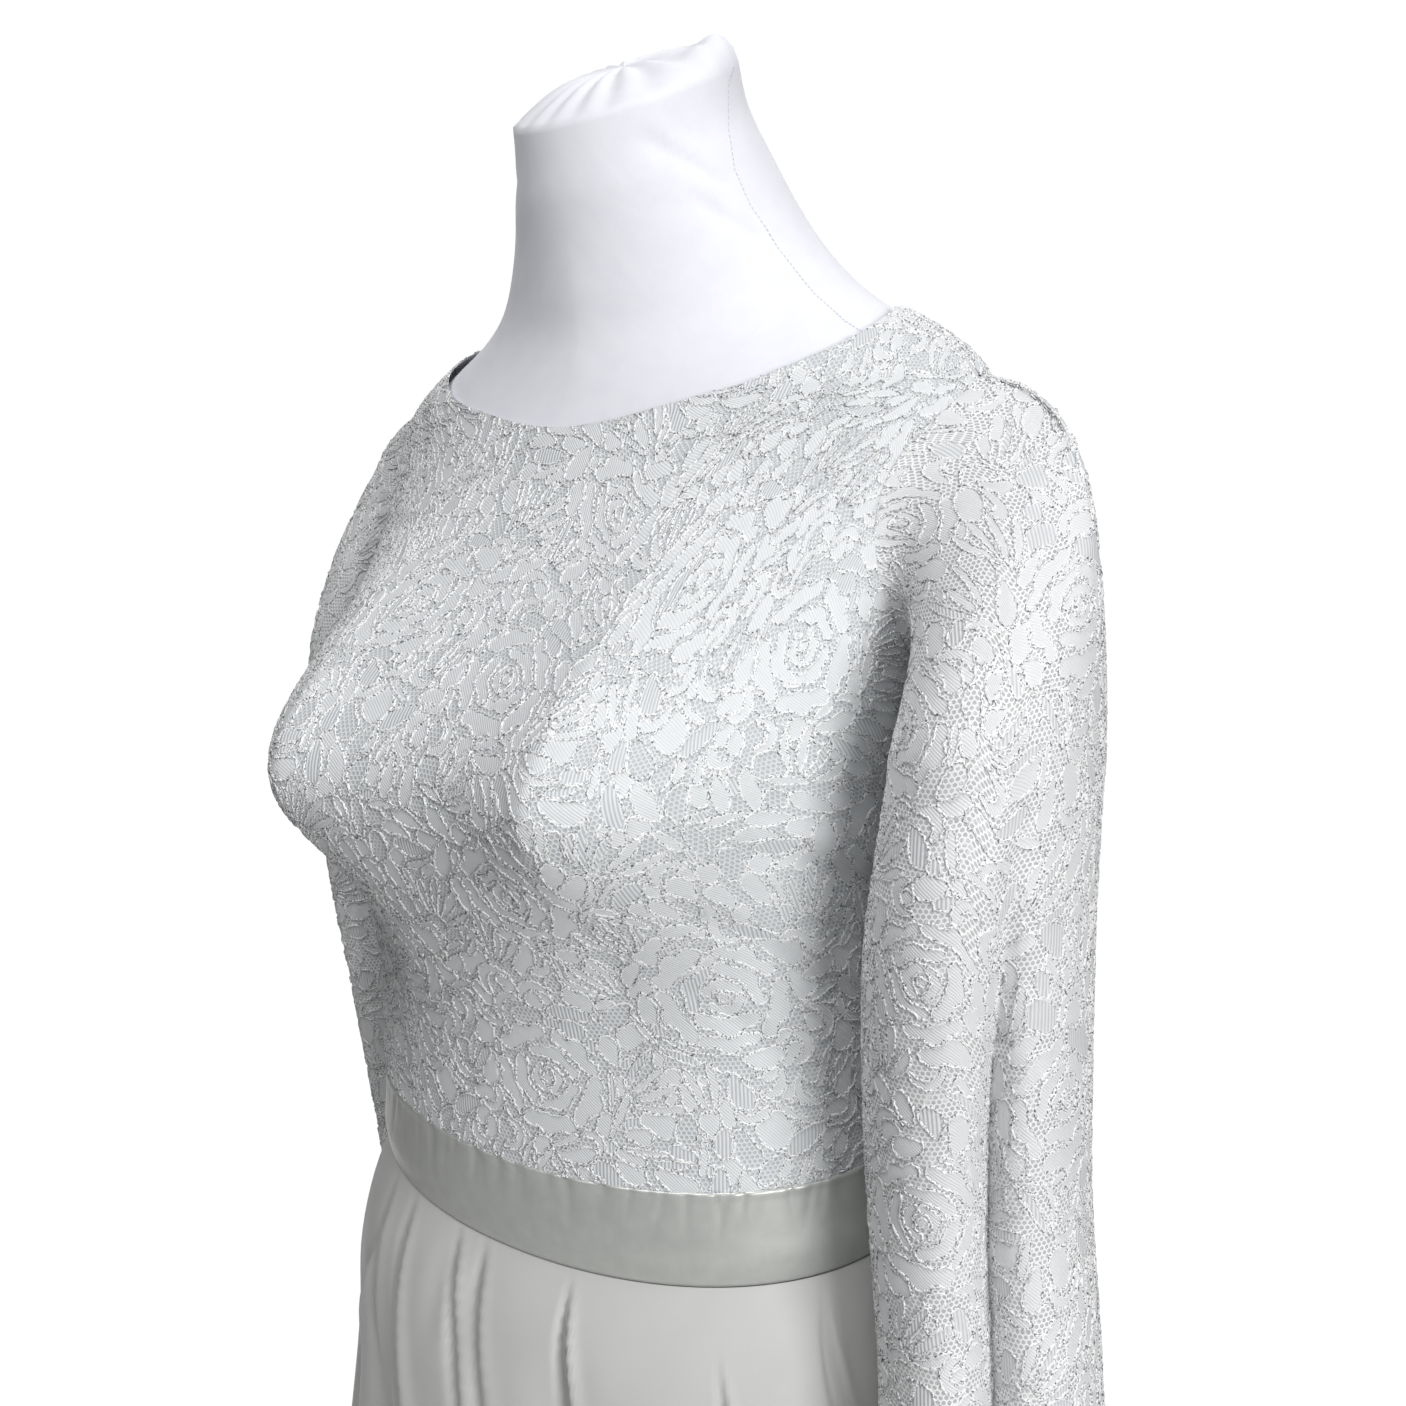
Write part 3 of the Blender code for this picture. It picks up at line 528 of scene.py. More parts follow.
def strips_object(
    name: str, rails: Array, flat: Array, breaks: Array, ribbed: Array | None = None
) -> bpy.types.Object:
    """Make many strips, each two faces wide, as one mesh.

    Args:
        name: The piece's name.
        rails: Points of the three rails, as an array of 3 by count by 3.
        flat: The flat place of each of those points, 3 by count by 2.
        breaks: Numbers of the rungs after which one strip ends.
        ribbed: For each rung, 1 where the clothwork is worked in ribs.

    Returns:
        The new object.
    """
    count = rails.shape[1]
    bm = bmesh.new()
    bm.loops.layers.uv.new(FLAT_UV)
    bmesh.ops.create_grid(bm, x_segments=count - 1, y_segments=2, size=1.0)
    mesh = bpy.data.meshes.new(name)
    bm.to_mesh(mesh)
    place_mesh(mesh, rails.reshape(-1, 3), flat.reshape(-1, 2))
    # The crest is 1 on the middle rail and 0 on the side rails; the cord's finish reads it to paint a
    # lighter crest and darker feet, as painted highlight and painted shade
    crest = np.repeat([0.0, 1.0, 0.0], count)
    worked = None if ribbed is None else np.tile(ribbed, 3)
    for label, values in (("crest", crest), ("ribbed", worked)):
        if values is not None:
            layer = mesh.attributes.new(label, "FLOAT", "POINT")
            layer.data.foreach_set("value", values.astype(np.float32))
    bm.clear()
    bm.from_mesh(mesh)
    bm.faces.ensure_lookup_table()
    between = [bm.faces[i + k * (count - 1)] for i in breaks[:-1] for k in (0, 1)]
    bmesh.ops.delete(bm, geom=between, context="FACES_ONLY")
    bmesh.ops.remove_doubles(bm, verts=bm.verts, dist=1e-6)
    bm.to_mesh(mesh)
    bm.free()
    mesh.shade_smooth()
    return bpy.data.objects.new(name, mesh)


def built_object(name: str, bm: bmesh.types.BMesh) -> bpy.types.Object:
    """Turn what was built into a new object, and let go of the build."""
    mesh = bpy.data.meshes.new(name)
    bm.to_mesh(mesh)
    bm.free()
    return bpy.data.objects.new(name, mesh)


def keep(
    piece: bpy.types.Object, material: bpy.types.Material, body: str = BODY
) -> bpy.types.Object:
    """Link a new piece, dress it and let it ride on a body.

    Args:
        piece: The new object.
        material: Its finish.
        body: The body it rides on.

    Returns:
        The same object.
    """
    bpy.context.scene.collection.objects.link(piece)
    piece.data.materials.clear()
    piece.data.materials.append(material)
    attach(piece, body)
    return piece


def thicken(piece: bpy.types.Object, wall: float) -> bpy.types.Object:
    """Give a shell its thickness, inwards from its outer face."""
    solid = piece.modifiers.new("wall", "SOLIDIFY")
    solid.thickness = wall
    solid.offset = -1.0
    return piece


# Materials


def linear(hex_colour: str) -> tuple[float, float, float, float]:
    """Turn an sRGB hex colour into linear red, green, blue and alpha."""
    parts = [int(hex_colour[i : i + 2], 16) / 255 for i in (1, 3, 5)]
    red, green, blue = [c / 12.92 if c <= 0.04045 else ((c + 0.055) / 1.055) ** 2.4 for c in parts]
    return red, green, blue, 1.0


def add_node(
    material: bpy.types.Material, kind: str, inputs: dict | None = None, **settings: object
) -> bpy.types.Node:
    """Add a node to a material, set it and link what feeds it.

    Args:
        material: The material.
        kind: The node's type.
        inputs: Socket names or numbers, with a value or another node's output.
        settings: The node's own properties.

    Returns:
        The new node.
    """
    tree = material.node_tree
    node = tree.nodes.new(kind)
    for name, value in settings.items():
        setattr(node, name, value)
    for name, value in (inputs or {}).items():
        if isinstance(value, bpy.types.NodeSocket):
            tree.links.new(value, node.inputs[name])
        else:
            node.inputs[name].default_value = value
    return node


def new_material(name: str) -> tuple[bpy.types.Material, bpy.types.Node]:
    """Return a new material and its surface shader."""
    material = bpy.data.materials.new(name)
    material.use_nodes = True
    return material, material.node_tree.nodes["Principled BSDF"]


def flat_millimetres(material: bpy.types.Material) -> bpy.types.NodeSocket:
    """Return the place on the flat cloth, in millimetres."""
    uv = add_node(material, "ShaderNodeUVMap", uv_map=FLAT_UV).outputs["UV"]
    scale = {0: uv, 1: (UV_MM, UV_MM, UV_MM)}
    return add_node(material, "ShaderNodeVectorMath", scale, operation="MULTIPLY").outputs["Vector"]


def object_millimetres(material: bpy.types.Material) -> bpy.types.NodeSocket:
    """Return the place in the object's space, in millimetres."""
    place = add_node(material, "ShaderNodeTexCoord").outputs["Object"]
    scale = {0: place, 1: (MM_PER_METRE, MM_PER_METRE, MM_PER_METRE)}
    return add_node(material, "ShaderNodeVectorMath", scale, operation="MULTIPLY").outputs["Vector"]


def grain_settings(place: bpy.types.NodeSocket, size_mm: float, detail: float = 2.0) -> dict:
    """Return a noise texture's inputs for blots of a size in millimetres."""
    return {"Vector": place, "Scale": 1.0 / size_mm, "Detail": detail, "Roughness": 0.55}


def dress_shader(
    material: bpy.types.Material,
    shader: bpy.types.Node,
    shown: bpy.types.NodeSocket,
    stops: list[tuple[float, str]],
    relief: tuple[bpy.types.NodeSocket, float, float] | None = None,
    **numbers: float,
) -> None:
    """Colour a surface, raise it and set its plain numbers.

    Args:
        material: The material.
        shader: Its surface shader.
        shown: What the colour follows, from 0 to 1.
        stops: Places on that way, each with its hex colour.
        relief: A height from 0 to 1, how deep it is in millimetres, and its strength.
        numbers: The shader's own numbers, by their short names in SHADER_SOCKETS.
    """
    node = add_node(material, "ShaderNodeValToRGB", {"Fac": shown})
    elements = node.color_ramp.elements
    while len(elements) < len(stops):
        elements.new(0.5)
    for element, (place, colour) in zip(elements, stops):
        element.position = place
        element.color = linear(colour)
    links = material.node_tree.links
    links.new(node.outputs["Color"], shader.inputs["Base Color"])
    for name, value in numbers.items():
        shader.inputs[SHADER_SOCKETS[name]].default_value = value
    if relief:
        height, deep_mm, strength = relief
        raised = {"Height": height, "Distance": deep_mm * MM, "Strength": strength}
        bump_node = add_node(material, "ShaderNodeBump", raised)
        links.new(bump_node.outputs["Normal"], shader.inputs["Normal"])


@dataclass(frozen=True)
class HexNet:
    """Bobbinet: six-sided meshes, drawn at the pitch that the lace shows."""

    pitch_mm: float = 2.3
    thread: float = 0.17
    soft: float = 0.07

    def threads(
        self, material: bpy.types.Material, place: bpy.types.NodeSocket
    ) -> bpy.types.NodeSocket:
        """Return 1 on the net's threads and 0 in its holes."""
        size = 1.0 / self.pitch_mm
        half, below = (0.5, HEX_RISE, 1.0), (-0.5, -HEX_RISE, -1.0)
        cells = add_node(
            material, "ShaderNodeVectorMath", {0: place, 1: (size, size, size)}, operation="MULTIPLY"
        ).outputs["Vector"]
        shifted = add_node(
            material, "ShaderNodeVectorMath", {0: cells, 1: (0.5, HEX_RISE, 0.0)}, operation="ADD"
        ).outputs["Vector"]
        reaches = {}
        for number, lattice in enumerate((cells, shifted)):
            around = add_node(
                material, "ShaderNodeVectorMath", {0: lattice, 1: half, 2: below}, operation="WRAP"
            ).outputs["Vector"]
            plain = add_node(
                material, "ShaderNodeVectorMath", {0: around}, operation="ABSOLUTE"
            ).outputs["Vector"]
            slanted = add_node(
                material, "ShaderNodeVectorMath", {0: plain, 1: half}, operation="DOT_PRODUCT"
            ).outputs["Value"]
            across = add_node(material, "ShaderNodeSeparateXYZ", {0: plain}).outputs["X"]
            reaches[number] = add_node(
                material, "ShaderNodeMath", {0: across, 1: slanted}, operation="MAXIMUM"
            ).outputs["Value"]
        nearest = add_node(material, "ShaderNodeMath", reaches, operation="MINIMUM")
        low, high = 0.5 - self.thread - self.soft, 0.5 - self.thread + self.soft
        edge = add_node(
            material,
            "ShaderNodeMapRange",
            {"Value": nearest.outputs["Value"], "From Min": low, "From Max": high},
            interpolation_type="SMOOTHSTEP",
        )
        return edge.outputs["Result"]


@dataclass(frozen=True)
class LinedNet:
    """Net over an opaque satin lining: a fine grey hex texture on ivory, the lining in the holes
    painted darker than the threads as painted shade.
    """

    thread: str = "#E4E6E8"
    # Painted shade: the lining seen through the net's holes is coloured darker than the threads
    hole_shade: str = "#C3C7CB"
    roughness: float = 0.62

    def make(self) -> bpy.types.Material:
        """Make the material."""
        material, shader = new_material("net over ivory lining")
        threads = HexNet().threads(material, flat_millimetres(material))
        # The holes take the painted shade colour and the threads the light one
        stops, relief = [(0.0, self.hole_shade), (1.0, self.thread)], (threads, 0.35, 0.8)
        dress_shader(
            material, shader, threads, stops, relief, roughness=self.roughness, sheen=0.15
        )
        return material


@dataclass(frozen=True)
class SheerNet:
    """Unlined net: white threads with half-clear holes between them."""

    thread: str = "#F1F2F3"
    haze: float = 0.50
    roughness: float = 0.65

    def make(self) -> bpy.types.Material:
        """Make the material."""
        material, shader = new_material("sheer ivory net")
        fine_net = HexNet(thread=0.15, soft=0.05)
        threads = fine_net.threads(material, flat_millimetres(material))
        shown = add_node(
            material, "ShaderNodeMapRange", {"Value": threads, "To Min": self.haze, "To Max": 1.0}
        ).outputs["Result"]
        material.node_tree.links.new(shown, shader.inputs["Alpha"])
        shader.inputs["Base Color"].default_value = linear(self.thread)
        shader.inputs["Roughness"].default_value = self.roughness
        return material


@dataclass(frozen=True)
class Clothwork:
    """Close-worked petals: fine slanting threads, some of them in open ribs, with the grooves between
    the threads painted darker as painted shade.

    The real threads lie 0.4 mm apart, which is too fine to show, so they are
    drawn almost three times as coarse.
    """

    name: str = "ivory clothwork"
    body: str = "#E6E8EA"
    # Painted shade: the grooves between the threads are coloured darker than the threads
    groove_shade: str = "#BFC3C7"
    thread_mm: float = 1.15
    rib_mm: float = 1.7
    alpha: float = 1.0

    def make(self) -> bpy.types.Material:
        """Make the material."""
        material, shader = new_material(self.name)
        place = flat_millimetres(material)
        fine = add_node(
            material,
            "ShaderNodeTexWave",
            {"Vector": place, "Scale": WAVE_SLANT_STEP_MM / self.thread_mm, "Distortion": 1.0},
            bands_direction="DIAGONAL",
        ).outputs["Fac"]
        ribs = add_node(
            material,
            "ShaderNodeTexWave",
            {"Vector": place, "Scale": WAVE_STEP_MM / self.rib_mm, "Distortion": 0.4},
        ).outputs["Fac"]
        ribbed = add_node(material, "ShaderNodeAttribute", attribute_name="ribbed").outputs["Fac"]
        softened = add_node(
            material, "ShaderNodeMapRange", {"Value": fine, "To Min": 0.48, "To Max": 1.0}
        ).outputs["Result"]
        mixed = add_node(
            material, "ShaderNodeMix", {"Factor": ribbed, 2: softened, 3: ribs}, data_type="FLOAT"
        ).outputs[0]
        # The sunk grooves take the painted shade colour and the raised threads the light one
        stops, relief = [(0.0, self.groove_shade), (0.8, self.body)], (mixed, 0.25, 0.8)
        dress_shader(
            material, shader, mixed, stops, relief, roughness=0.55, sheen=0.2, alpha=self.alpha
        )
        return material


@dataclass(frozen=True)
class PicotCord:
    """Looped viscose cord: bright little loops, the crest painted lighter as painted highlight and
    the feet painted darker, with dark pricks, as painted shade.
    """

    loop: str = "#FFFFFF"
    shade: str = "#DDDFE2"
    # Painted shade: the dark pricks at the cord's feet
    prick_shade: str = "#66696C"
    loop_mm: float = 0.9
    crest_highlight: float = 0.16
    contrast: float = 1.2

    def make(self) -> bpy.types.Material:
        """Make the material."""
        material, shader = new_material("ivory picot cord")
        grain = grain_settings(object_millimetres(material), self.loop_mm, 1.0)
        loops = add_node(material, "ShaderNodeTexNoise", grain).outputs["Fac"]
        crest = add_node(material, "ShaderNodeAttribute", attribute_name="crest").outputs["Fac"]
        # Painted highlight and painted shade: the crest adds to the colour, so the middle is lighter
        # and the feet darker
        raised = add_node(
            material, "ShaderNodeMath", {0: crest, 1: self.crest_highlight}, operation="MULTIPLY"
        ).outputs["Value"]
        summed = {0: loops, 1: self.contrast, 2: raised}
        shown = add_node(
            material, "ShaderNodeMath", summed, operation="MULTIPLY_ADD"
        ).outputs["Value"]
        stops = [(0.51, self.prick_shade), (0.61, self.shade), (0.72, self.loop)]
        dress_shader(
            material, shader, shown, stops, (loops, 0.6, 0.9), roughness=0.38, specular=0.6
        )
        return material


@dataclass(frozen=True)
class Satin:
    """Crepe-back satin, plain side out: smooth threads with a soft shine."""

    lit: str = "#D2D4D0"
    shade: str = "#CACCC8"
    thread_mm: float = 0.7

    def make(self) -> bpy.types.Material:
        """Make the material."""
        material, shader = new_material("ivory satin")
        place = flat_millimetres(material)
        threads = add_node(
            material,
            "ShaderNodeTexWave",
            {"Vector": place, "Scale": WAVE_STEP_MM / self.thread_mm, "Distortion": 1.0},
        ).outputs["Fac"]
        blots = add_node(material, "ShaderNodeTexNoise", grain_settings(place, 9.0)).outputs["Fac"]
        stops, relief = [(0.3, self.shade), (0.7, self.lit)], (threads, 0.05, 0.35)
        dress_shader(material, shader, blots, stops, relief, metallic=0.45, roughness=0.40)
        return material


@dataclass(frozen=True)
class Crepe:
    """Smooth matt crepe: a very fine pebbled grain."""

    lit: str = "#C7C7C5"
    shade: str = "#C4C4C2"

    def make(self) -> bpy.types.Material:
        """Make the material."""
        material, shader = new_material("ivory crepe")
        place = flat_millimetres(material)
        pebbles, blots = [
            add_node(material, "ShaderNodeTexNoise", grain_settings(place, *size)).outputs["Fac"]
            for size in ((0.7, 3.0), (30.0,))
        ]
        stops, relief = [(0.3, self.shade), (0.7, self.lit)], (pebbles, 0.10, 0.5)
        dress_shader(material, shader, blots, stops, relief, roughness=0.66, sheen=0.25)
        return material


@dataclass(frozen=True)
class Jersey:
    """Fine cotton jersey stretched over the form: faint vertical wales."""

    lit: str = "#F3F4FA"
    shade: str = "#EEEFF6"
    wale_mm: float = 1.1

    def make(self) -> bpy.types.Material:
        """Make the material."""
        material, shader = new_material("white cotton jersey")
        place = flat_millimetres(material)
        wales = add_node(
            material,
            "ShaderNodeTexWave",
            {"Vector": place, "Scale": WAVE_STEP_MM / self.wale_mm, "Distortion": 1.2},
        ).outputs["Fac"]
        blots = add_node(material, "ShaderNodeTexNoise", grain_settings(place, 14.0)).outputs["Fac"]
        stops, relief = [(0.25, self.shade), (0.75, self.lit)], (wales, 0.08, 0.35)
        dress_shader(material, shader, blots, stops, relief, roughness=0.85, sheen=0.2)
        return material


@dataclass(frozen=True)
class MottledFinish:
    """A plain finish whose colour, and relief if any, come from one fine noise."""

    name: str
    shade: str
    lit: str
    blot_mm: float
    roughness: float
    stops: tuple[float, float] = (0.3, 0.7)
    detail: float = 2.0
    drawn_out: float = 1.0
    metallic: float = 0.0
    coat: float = 0.0
    relief_mm: float = 0.0

    def make(self) -> bpy.types.Material:
        """Make the material."""
        material, shader = new_material(self.name)
        place = object_millimetres(material)
        if self.drawn_out > 1:
            scale = (1.0, 1.0, 1 / self.drawn_out)
            place = add_node(
                material, "ShaderNodeMapping", {"Vector": place, "Scale": scale}
            ).outputs["Vector"]
        grain = grain_settings(place, self.blot_mm, self.detail)
        blots = add_node(material, "ShaderNodeTexNoise", grain).outputs["Fac"]
        dress_shader(
            material,
            shader,
            blots,
            list(zip(self.stops, (self.shade, self.lit))),
            (blots, self.relief_mm, 0.4) if self.relief_mm > 0 else None,
            roughness=self.roughness,
            metallic=self.metallic,
            coat=self.coat,
        )
        return material


# Spun sewing thread: twisted, light and dark by turns, and a little shiny
SEWING_THREAD = MottledFinish(
    "white sewing thread", "#B9BAC2", "#D9DAE0", 0.5, 0.5, stops=(0.2, 0.7), detail=1.0
)
# Stainless tube, brushed along its length: fine upright scratches
BRUSHED_STEEL = MottledFinish(
    "brushed stainless steel",
    "#A9ABAE",
    "#C9CACC",
    0.8,
    0.32,
    detail=4.0,
    drawn_out=50.0,
    metallic=1.0,
    relief_mm=0.02,
)
# Baked powder paint: a slight orange-peel over steel
POWDER_COAT = MottledFinish(
    "white powder coat", "#DCDCDA", "#E4E4E2", 1.8, 0.42, coat=0.15, relief_mm=0.05
)
# Enamel on the slider and its tab: the same paint, smoother and warmer
IVORY_ENAMEL = MottledFinish(
    "ivory enamel", "#E2E0D6", "#E8E6DD", 0.9, 0.28, coat=0.15, relief_mm=0.05
)
# Sealed fibreboard that closes the form's foot: brown-grey flecks
FIBREBOARD = MottledFinish(
    "sealed fibreboard", "#9A8D7A", "#B9AC98", 1.6, 0.7, stops=(0.35, 0.65), detail=5.0, relief_mm=0.1
)
# Matt pale grey paper for the floor: plain, with the least mottle
STUDIO_PAPER = MottledFinish("studio paper", "#C0C0BF", "#C4C4C3", 400.0, 0.9, stops=(0.0, 1.0))


@dataclass(frozen=True)
class LitPaper:
    """White sweep paper, lit evenly from behind until it reads as pure white."""

    glow: float = 1.02

    def make(self) -> bpy.types.Material:
        """Make the material."""
        material, shader = new_material("lit sweep paper")
        shader.inputs["Base Color"].default_value = linear("#000000")
        shader.inputs["Roughness"].default_value = 1.0
        shader.inputs["Specular IOR Level"].default_value = 0.0
        shader.inputs["Emission Color"].default_value = linear("#FFFFFF")
        shader.inputs["Emission Strength"].default_value = self.glow
        return material


# Lace


class Work(Enum):
    """How the inside of a lace figure is worked."""

    CLOSE = "close"
    RIBBED = "ribbed"
    OPEN = "open"


@dataclass(frozen=True)
class Figure:
    """A lace figure: a closed outline of an even count of points, in millimetres.

    The outline starts at one tip and reaches the other half way round, so that
    rungs between its two sides fill it.
    """

    outline: Array
    work: Work


def turned(points: Array, turn: float, x: float, y: float) -> Array:
    """Return flat points turned by radians, then moved."""
    c, s = np.cos(turn), np.sin(turn)
    return points @ np.array([[c, s], [-s, c]]) + (x, y)


def ring_petal(inner: float, outer: float, middle: float, half: float, notch: float) -> Array:
    """Return the outline of a petal that lies in a ring round a rose's heart.

    Args:
        inner: Its inner radius.
        outer: Its outer radius.
        middle: The turn of its middle, in radians.
        half: Half the turn that it spans.
        notch: How deep its outer edge dips in the middle.

    Returns:
        Points of the outline.
    """
    count = 2 * max(6, int(round(1.1 * half * outer)))
    t = 2 * np.pi * np.arange(count) / count
    c, s = signed_power(np.cos(t), 0.8), signed_power(np.sin(t), 0.7)
    radius = 0.5 * (inner + outer) + 0.5 * (outer - inner) * s
    radius = radius - notch * (bump(c - 0.42, 0.2) + bump(c + 0.42, 0.2)) * np.maximum(s, 0)
    angle = middle + half * c
    return np.stack([radius * np.cos(angle), radius * np.sin(angle)], axis=-1)


def long_leaf(length: float, width: float, bend: float) -> Array:
    """Return the outline of a pointed leaf along X, bent sideways in the middle."""
    count = 2 * max(6, int(round(length / 2.1)))
    t = 2 * np.pi * np.arange(count) / count
    along = np.cos(t)
    x = 0.5 * length * along
    wide = 0.5 * width * signed_power(np.sin(t), 1.15) * (1 + 0.35 * along)
    return np.stack([x, wide + bend * (1 - along**2)], axis=-1)


def crescent(radius: float, thick: float, sweep: float) -> Array:
    """Return the outline of a scroll: an arc that thins towards both ends."""
    count = 2 * max(7, int(round(radius * sweep / 1.8)))
    t = 2 * np.pi * np.arange(count) / count
    angle = 0.5 * sweep * np.cos(t)
    r = radius + 0.5 * thick * signed_power(np.sin(t), 0.9)
    return np.stack([r * np.cos(angle) - radius, r * np.sin(angle)], axis=-1)


def outward_of(outline: Array) -> Array:
    """Return the unit normals of a closed outline, outwards if it runs anticlockwise."""
    ahead = np.roll(outline, -1, axis=0) - np.roll(outline, 1, axis=0)
    return unit(np.stack([ahead[:, 1], -ahead[:, 0]], axis=-1))


@dataclass
class LaceRepeat:
    """One repeat of the corded rose lace, which tiles in both directions.

    The large figures stand in a table; seeded small ones grow into the room
    that those leave, until each is a cord's width from its neighbours.
    """

    width: float = 170.0
    height: float = 200.0
    cell: float = 0.5
    gap: float = 0.25
    waver: float = 0.8
    seed: int = 11
    roses: tuple[tuple[float, float, float, float], ...] = (
        (32.0, 38.0, 27.0, 0.3),
        (118.0, 82.0, 29.0, 1.7),
        (46.0, 140.0, 26.0, 2.9),
    )
    sprays: tuple[tuple[float, float, float, int], ...] = (
        (66.0, 30.0, 0.5, 4),
        (88.0, 104.0, 1.9, 4),
        (18.0, 92.0, 1.2, 3),
        (90.0, 160.0, 0.7, 4),
        (160.0, 110.0, 1.0, 4),
        (76.0, 78.0, 2.3, 3),
        (14.0, 176.0, 0.8, 4),
        (110.0, 20.0, 2.2, 4),
        (154.0, 26.0, 0.9, 3),
    )
    leaves: int = 40
    blades: int = 40
    scrolls: int = 22
    tries: int = 40
    rose_close_share: float = 0.82
    pebble_close_share: float = 0.60
    pebble_worked_share: float = 0.72
    pebbles: tuple[tuple[float, float, float, int], ...] = (
        (9.5, 13.0, 6.2, 1200),
        (6.5, 9.5, 4.3, 2200),
        (4.4, 6.2, 2.9, 1500),
        (2.9, 4.2, 1.9, 700),
    )
    figures: list[Figure] = field(default_factory=list)

    def __post_init__(self) -> None:
        """Fill the repeat with its figures."""
        self.random = Random(self.seed)
        shape = (int(self.height / self.cell), int(self.width / self.cell))
        self.taken = np.zeros(shape, bool)
        for rose in self.roses:
            self.add_rose(*rose)
        for spray in self.sprays:
            self.add_spray(*spray)
        self.scatter(self.leaves, self.leaf_figure)
        self.scatter(self.scrolls, self.scroll_figure)
        self.scatter(self.blades, self.blade_figure)
        self.fill_room()

    def cells(self, outline: Array, grow: float) -> tuple[Array, Array]:
        """Return the rows and columns of cells inside an outline grown outwards."""
        outward = outward_of(outline)
        if np.sum(outward * (outline - outline.mean(axis=0))) < 0:
            outward = -outward
        loop = outline + outward * grow
        low = np.floor(loop.min(axis=0) / self.cell).astype(int)
        high = np.ceil(loop.max(axis=0) / self.cell).astype(int)
        column, row = np.meshgrid(np.arange(low[0], high[0] + 1), np.arange(low[1], high[1] + 1))
        x, y = (column.ravel() + 0.5) * self.cell, (row.ravel() + 0.5) * self.cell
        ax, ay = loop[:, :1], loop[:, 1:]
        bx, by = np.roll(ax, -1, axis=0), np.roll(ay, -1, axis=0)
        rise = np.where(np.abs(by - ay) < 1e-9, 1e-9, by - ay)
        crossing = ((ay > y) != (by > y)) & (x < (bx - ax) * (y - ay) / rise + ax)
        inside = crossing.sum(axis=0) % 2 == 1
        rows, columns = self.taken.shape
        return row.ravel()[inside] % rows, column.ravel()[inside] % columns

    def claim(self, outline: Array, work: Work) -> None:
        """Add a figure, its edge a little uneven as worked lace is, and take its cells."""
        waver = np.array([self.random.uniform(-1, 1) for _ in outline])
        waver = 0.6 * waver + 0.2 * (np.roll(waver, 1) + np.roll(waver, -1))
        slim = np.sqrt(np.min(np.ptp(outline, axis=0)) / 8)
        outline = outline + outward_of(outline) * (self.waver * min(slim, 1.0) * waver)[:, None]
        self.figures.append(Figure(outline, work))
        self.taken[self.cells(outline, self.gap)] = True

    def try_figure(self, outline: Array, work: Work) -> bool:
        """Add a figure if all of its cells are free."""
        if self.taken[self.cells(outline, 0.0)].any():
            return False
        self.claim(outline, work)
        return True

    def add_rose(self, x: float, y: float, size: float, turn: float) -> None:
        """Add a rose of petals in rings round a small heart."""
        angles = np.linspace(0, 2 * np.pi, 10, endpoint=False)
        heart = 0.10 * size * np.stack([np.cos(angles), 0.8 * np.sin(angles)], axis=-1)
        self.claim(turned(heart, turn, x, y), Work.CLOSE)
        rings = ((0.15, 0.33, 2, 0.05), (0.37, 0.64, 3, 0.09), (0.68, 1.04, 5, 0.13))
        for number, (inner, outer, petals, notch) in enumerate(rings):
            for k in range(petals):
                stray = self.random.uniform(-0.08, 0.08)
                middle = turn + 0.9 * number + 2 * np.pi * (k + stray) / petals
                half = np.pi / petals - 0.45 / (size * outer) - 0.02
                grow = self.random.uniform(0.92, 1.08)
                outline = ring_petal(inner * size, outer * size * grow, middle, half, notch * size)
                close = self.random.random() < self.rose_close_share
                self.claim(outline + (x, y), Work.CLOSE if close else Work.RIBBED)

    def add_spray(self, x: float, y: float, turn: float, blades: int) -> None:
        """Add a fan of long blades that spring from one place."""
        for k in range(blades):
            lean = turn + 0.34 * (k - 0.5 * (blades - 1))
            length = self.random.uniform(19, 27)
            outline = long_leaf(length, self.random.uniform(3.4, 4.6), 1.2 * (k - 1.5))
            away = 0.5 * length + 7.0
            place = turned(outline, lean, x + away * np.cos(lean), y + away * np.sin(lean))
            self.try_figure(place, self.random.choice((Work.CLOSE, Work.CLOSE, Work.RIBBED)))

    def swirl(self, x: float, y: float) -> float:
        """Return the way a petal lies: round a near rose, away from a far one."""
        size = np.array([self.width, self.height])
        best, turn = 1e9, 0.0
        for rose_x, rose_y, radius, _ in self.roses:
            apart = (np.array([x - rose_x, y - rose_y]) + 0.5 * size) % size - 0.5 * size
            reach = np.linalg.norm(apart) / radius
            if reach < best:
                around = np.pi / 2 if reach < 1.45 else 0.35
                best, turn = reach, np.arctan2(apart[1], apart[0]) + around
        return turn + self.random.uniform(-0.35, 0.35)

    def scatter(self, count: int, figure: Callable[[], tuple[Array, Work]]) -> None:
        """Try to place figures of one kind in free room."""
        for _ in range(count):
            outline, work = figure()
            for _ in range(self.tries):
                x, y = self.random.uniform(0, self.width), self.random.uniform(0, self.height)
                turn = self.swirl(x, y)
                if self.try_figure(turned(outline, turn, x, y), work):
                    break

    def leaf_figure(self) -> tuple[Array, Work]:
        """Return a broad leaf, half of them ribbed or open."""
        length = self.random.uniform(14, 23)
        outline = long_leaf(length, self.random.uniform(7.0, 10.0), self.random.uniform(-2.0, 2.0))
        return outline, self.random.choice((Work.CLOSE, Work.CLOSE, Work.RIBBED, Work.OPEN))

    def scroll_figure(self) -> tuple[Array, Work]:
        """Return a scroll that curls round a window of net."""
        radius, thick = self.random.uniform(6.0, 9.0), self.random.uniform(4.0, 5.2)
        return crescent(radius, thick, self.random.uniform(2.6, 3.8)), Work.CLOSE

